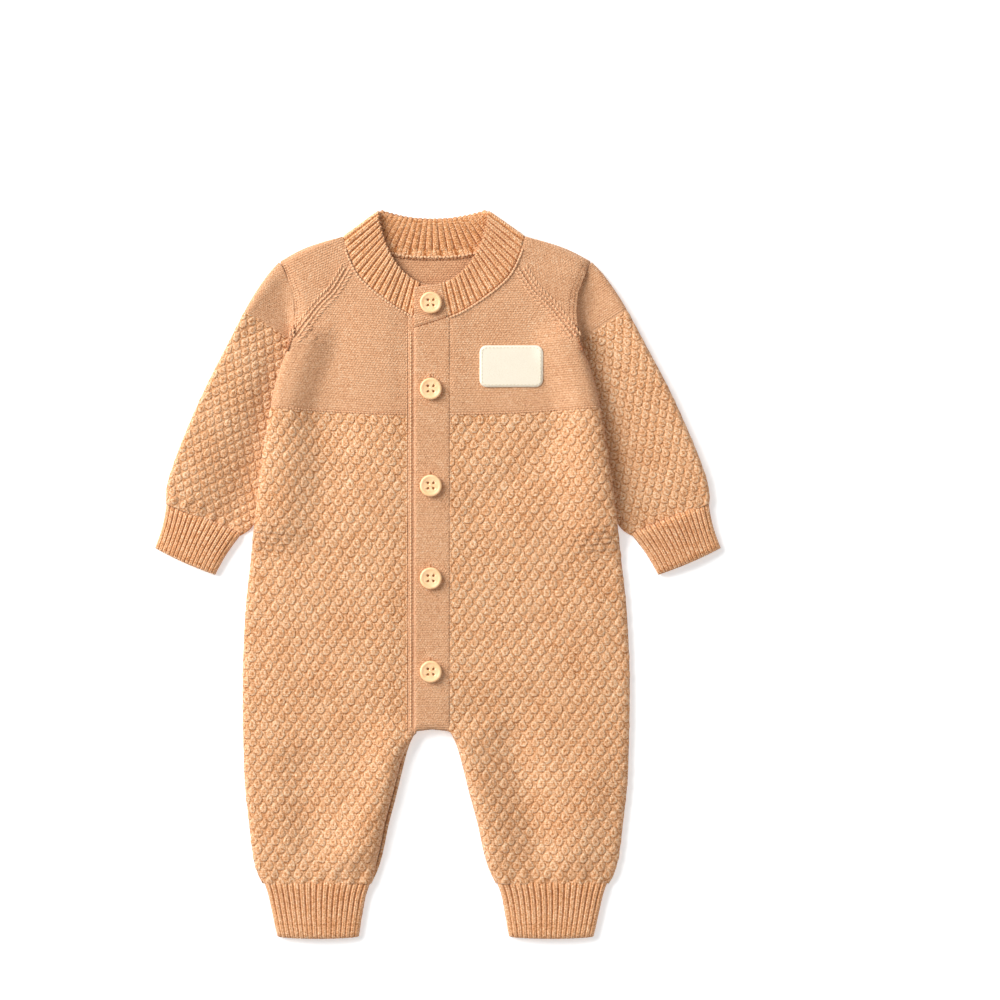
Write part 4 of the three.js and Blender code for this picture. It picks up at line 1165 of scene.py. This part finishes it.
def armhole_rows(side):
    """Two thin rows of stitches along the body's edge beside the sleeve."""
    rows = []
    for inset in (1.5, 4.3):
        points = [(side * (float(armhole_x(y)) - inset), y) for y in np.linspace(214.5, 163, 70)]
        rows.append(chain("armhole_row", points, front_top, 1.9, 1.35, 0.5, 0.5, 0.1))
    tack = [(side * (float(armhole_x(y)) - 0.2), y) for y in np.linspace(173, 155, 20)]
    rows.append(chain("armhole_tack", tack, lambda x, y: front_top(x, y) - 1.5, 1.9, 2.6, 2.2, 3.4, 0.2))
    return join(f"{'left' if side > 0 else 'right'}_armhole_rows", rows)


def crotch_row():
    """The stitches that close the band's end to the back, along the arch between the legs."""
    points = [(x, float(arch_y(np.float64(x))) + 0.6) for x in np.linspace(-13.5, 11.5, 60)]
    return chain("crotch_row", points, lambda x, y: 4.3 + 0 * y, 1.7, 2.6, 1.9, 4.6, 0.2)


def neck_row():
    """The knobbly row that links the collar to the back, seen inside the neck, and a dark row beside it as
    painted shade along the seam.
    """
    seam = line([(-x, y) for x, y in SEAM_BACK[1:]] + list(reversed(SEAM_BACK[1:-1])))
    points = [(x, y - 0.6) for x, y in seam(np.linspace(0, 1, 120))]

    def over_back(extra):
        return lambda x, y: WALL["body"] + extra + 0 * y

    # The second, dark row is painted shade along the seam beside the linking row.
    return [chain("neck_row", [(x, y + 1.9) for x, y in points], over_back(0.5), 2.6, 2.9, 1.9, 1.5, 0.5),
            chain("neck_link_shade", points, over_back(0.15), 2.3, 2.2, 1.0, 1.2, 0.2)]


def band_cord():
    """A light cord of stitches along the lower band, beside the upper band's edge."""
    points = [(-15.1, y) for y in np.linspace(168, -106, 200)]
    return chain("band_cord", points, lambda x, y: front_level(x, y) + BAND_RISE["under"] + 0.15,
                 2.4, 2.5, 1.5, 1.4, 0.15)


def tab_seam():
    """The dark stitches that join the collar's plain end and the upper band."""
    points = [(x, float(front_seam_y(x)) - 0.1) for x in np.linspace(-11, 11.5, 40)]
    return chain("tab_seam", points, lambda x, y: front_level(x, y) + BAND_RISE["over"],
                 2.2, 1.9, 0.75, 0.5, 0.35)


def patch_stitches():
    """Small stitches round the patch's edge."""
    inset = 1.7
    half_x, half_y, corner = (PATCH[key] - inset for key in ("half_width", "half_height", "corner"))
    points = []
    for k, (sx, sy) in enumerate(((1, 1), (-1, 1), (-1, -1), (1, -1))):
        for q in np.linspace(0, math.pi / 2, 7) + k * math.pi / 2:
            points.append((PATCH["x"] + sx * (half_x - corner) + corner * math.cos(q),
                           PATCH["y"] + sy * (half_y - corner) + corner * math.sin(q)))
    points.append(points[0])
    return chain("patch_stitches", points, lambda x, y: front_level(x, y) + band_rise(np.abs(x), 1) + 1.5,
                 2.5, 1.7, 0.42, 0.4, 0)


def buttonholes():
    """The stitched ends of the buttonholes that show above the lower four buttons, and a flat dark piece in
    each as painted shade of its opening.
    """
    rims, slit_shadows = [], []
    for y in BUTTON_HEIGHTS[1:]:
        x, top = BUTTON["x"], y + BUTTONHOLE["rise"] + BUTTONHOLE["length"] / 2
        z = float(front_level(np.float64(x), np.float64(top))) + BAND_RISE["over"]
        # Painted shade: a flat dark piece where the buttonhole opens.
        slit_shadows.append(((x, top - 1.5, z + 0.05), math.pi / 2))
        for k in range(4):
            for sx in (-1, 1):
                rims.append(((x + sx * 1.15, top - 2.6 + k * 0.95, z + 0.05), 0.25 * sx))
        for q in (0.6, 1.57, 2.54):
            rims.append(((x + 1.1 * math.cos(q), top + 0.1 + 0.9 * math.sin(q), z + 0.05), q))
    return (stitches("buttonhole_edges", rims, 1.35, 0.6, 0.7),
            stitches("buttonhole_slit_shadows", slit_shadows, 3.4, 0.95, 0.5))


def button_threads():
    """The dark sewing thread deep in the buttons' holes."""
    spots = []
    for index in range(1, 6):
        low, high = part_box(f"button_{index}")
        cx, cy = ((low[k] + high[k]) / 2 / MM for k in (0, 1))
        cx -= MIDDLE_SHIFT * (1 - abs(cx + 3.8) / HALF_SPAN)
        for sx in (-1, 1):
            for sy in (-1, 1):
                at = (cx + sx * BUTTON["spread"], cy + sy * BUTTON["spread"], low[2] / MM + 1.45)
                spots.append((at, sx * sy * 0.8))
    return stitches("button_threads", spots, 1.9, 1.7, 0.8)


def main():
    camera()
    studio()
    camel, smooth_knit, ribs = knit("camel_knit"), plain(), rib_knit()
    light_yarn = thread("camel_yarn", linear(206, 148, 104), linear(248, 206, 164))
    # Dark camel yarn for the armhole rows and the tab seam; also the painted shade along the neck's seam.
    dark_yarn_and_seam_shade = thread("dark_camel_yarn_and_seam_shade", linear(140, 84, 46), linear(176, 116, 72))
    # Brown thread for the buttons' holes; the same material is the painted shade in the buttonholes.
    shade = thread("brown_thread_and_slit_shade", linear(146, 86, 42), linear(184, 122, 72))
    cream = thread("cream_thread", linear(206, 188, 150), linear(232, 218, 186))

    # The back's knit carries painted shade on its inner face inside the neck opening.
    dress(back(), knit("camel_knit_with_neck_shade", 0.16), ["back"], (268, 447))
    for side, name in ((-1, "right"), (1, "left")):
        dress(front(side), camel, [f"front_{name}"], (126, 430))
        dress(shoulder(side), smooth_knit, [], (52, 75))
        dress(sleeve(side), camel, [f"sleeve_{name}"], (142, 195))
        dress(sleeve_cuff(side), ribs, [f"sleeve_cuff_{name}"], (165, 34), 1.4)
        dress(leg_cuff(side), ribs, [f"leg_cuff_{name}"], (210, 40), 1.4)
        dress(seams(side), light_yarn)
        dress(armhole_rows(side), dark_yarn_and_seam_shade)
    dress(collar(), ribs, ["collar"], (480, 30), 1.4)
    dress(band_over(), smooth_knit, ["band_buttonhole"], (24.3, 295))
    dress(band_beneath(), smooth_knit, ["band_under"], (26.9, 300))
    dress(band_cord(), light_yarn)
    row, link = neck_row()
    dress(row, light_yarn)
    # The dark row is painted shade along the seam beside the linking row.
    dress(link, dark_yarn_and_seam_shade)
    dress(crotch_row(), light_yarn)
    dress(tab_seam(), dark_yarn_and_seam_shade)
    dress(patch(), cream_cloth(), ["patch"], (43.1, 29.1))
    dress(patch_stitches(), cream)
    rims, slit_shadows = buttonholes()
    dress(rims, light_yarn)
    dress(slit_shadows, shade)
    plastic = button_plastic()
    for index in range(1, 6):
        dress(button(index), plastic, [f"button_{index}"])
    dress(button_threads(), shade)


main()
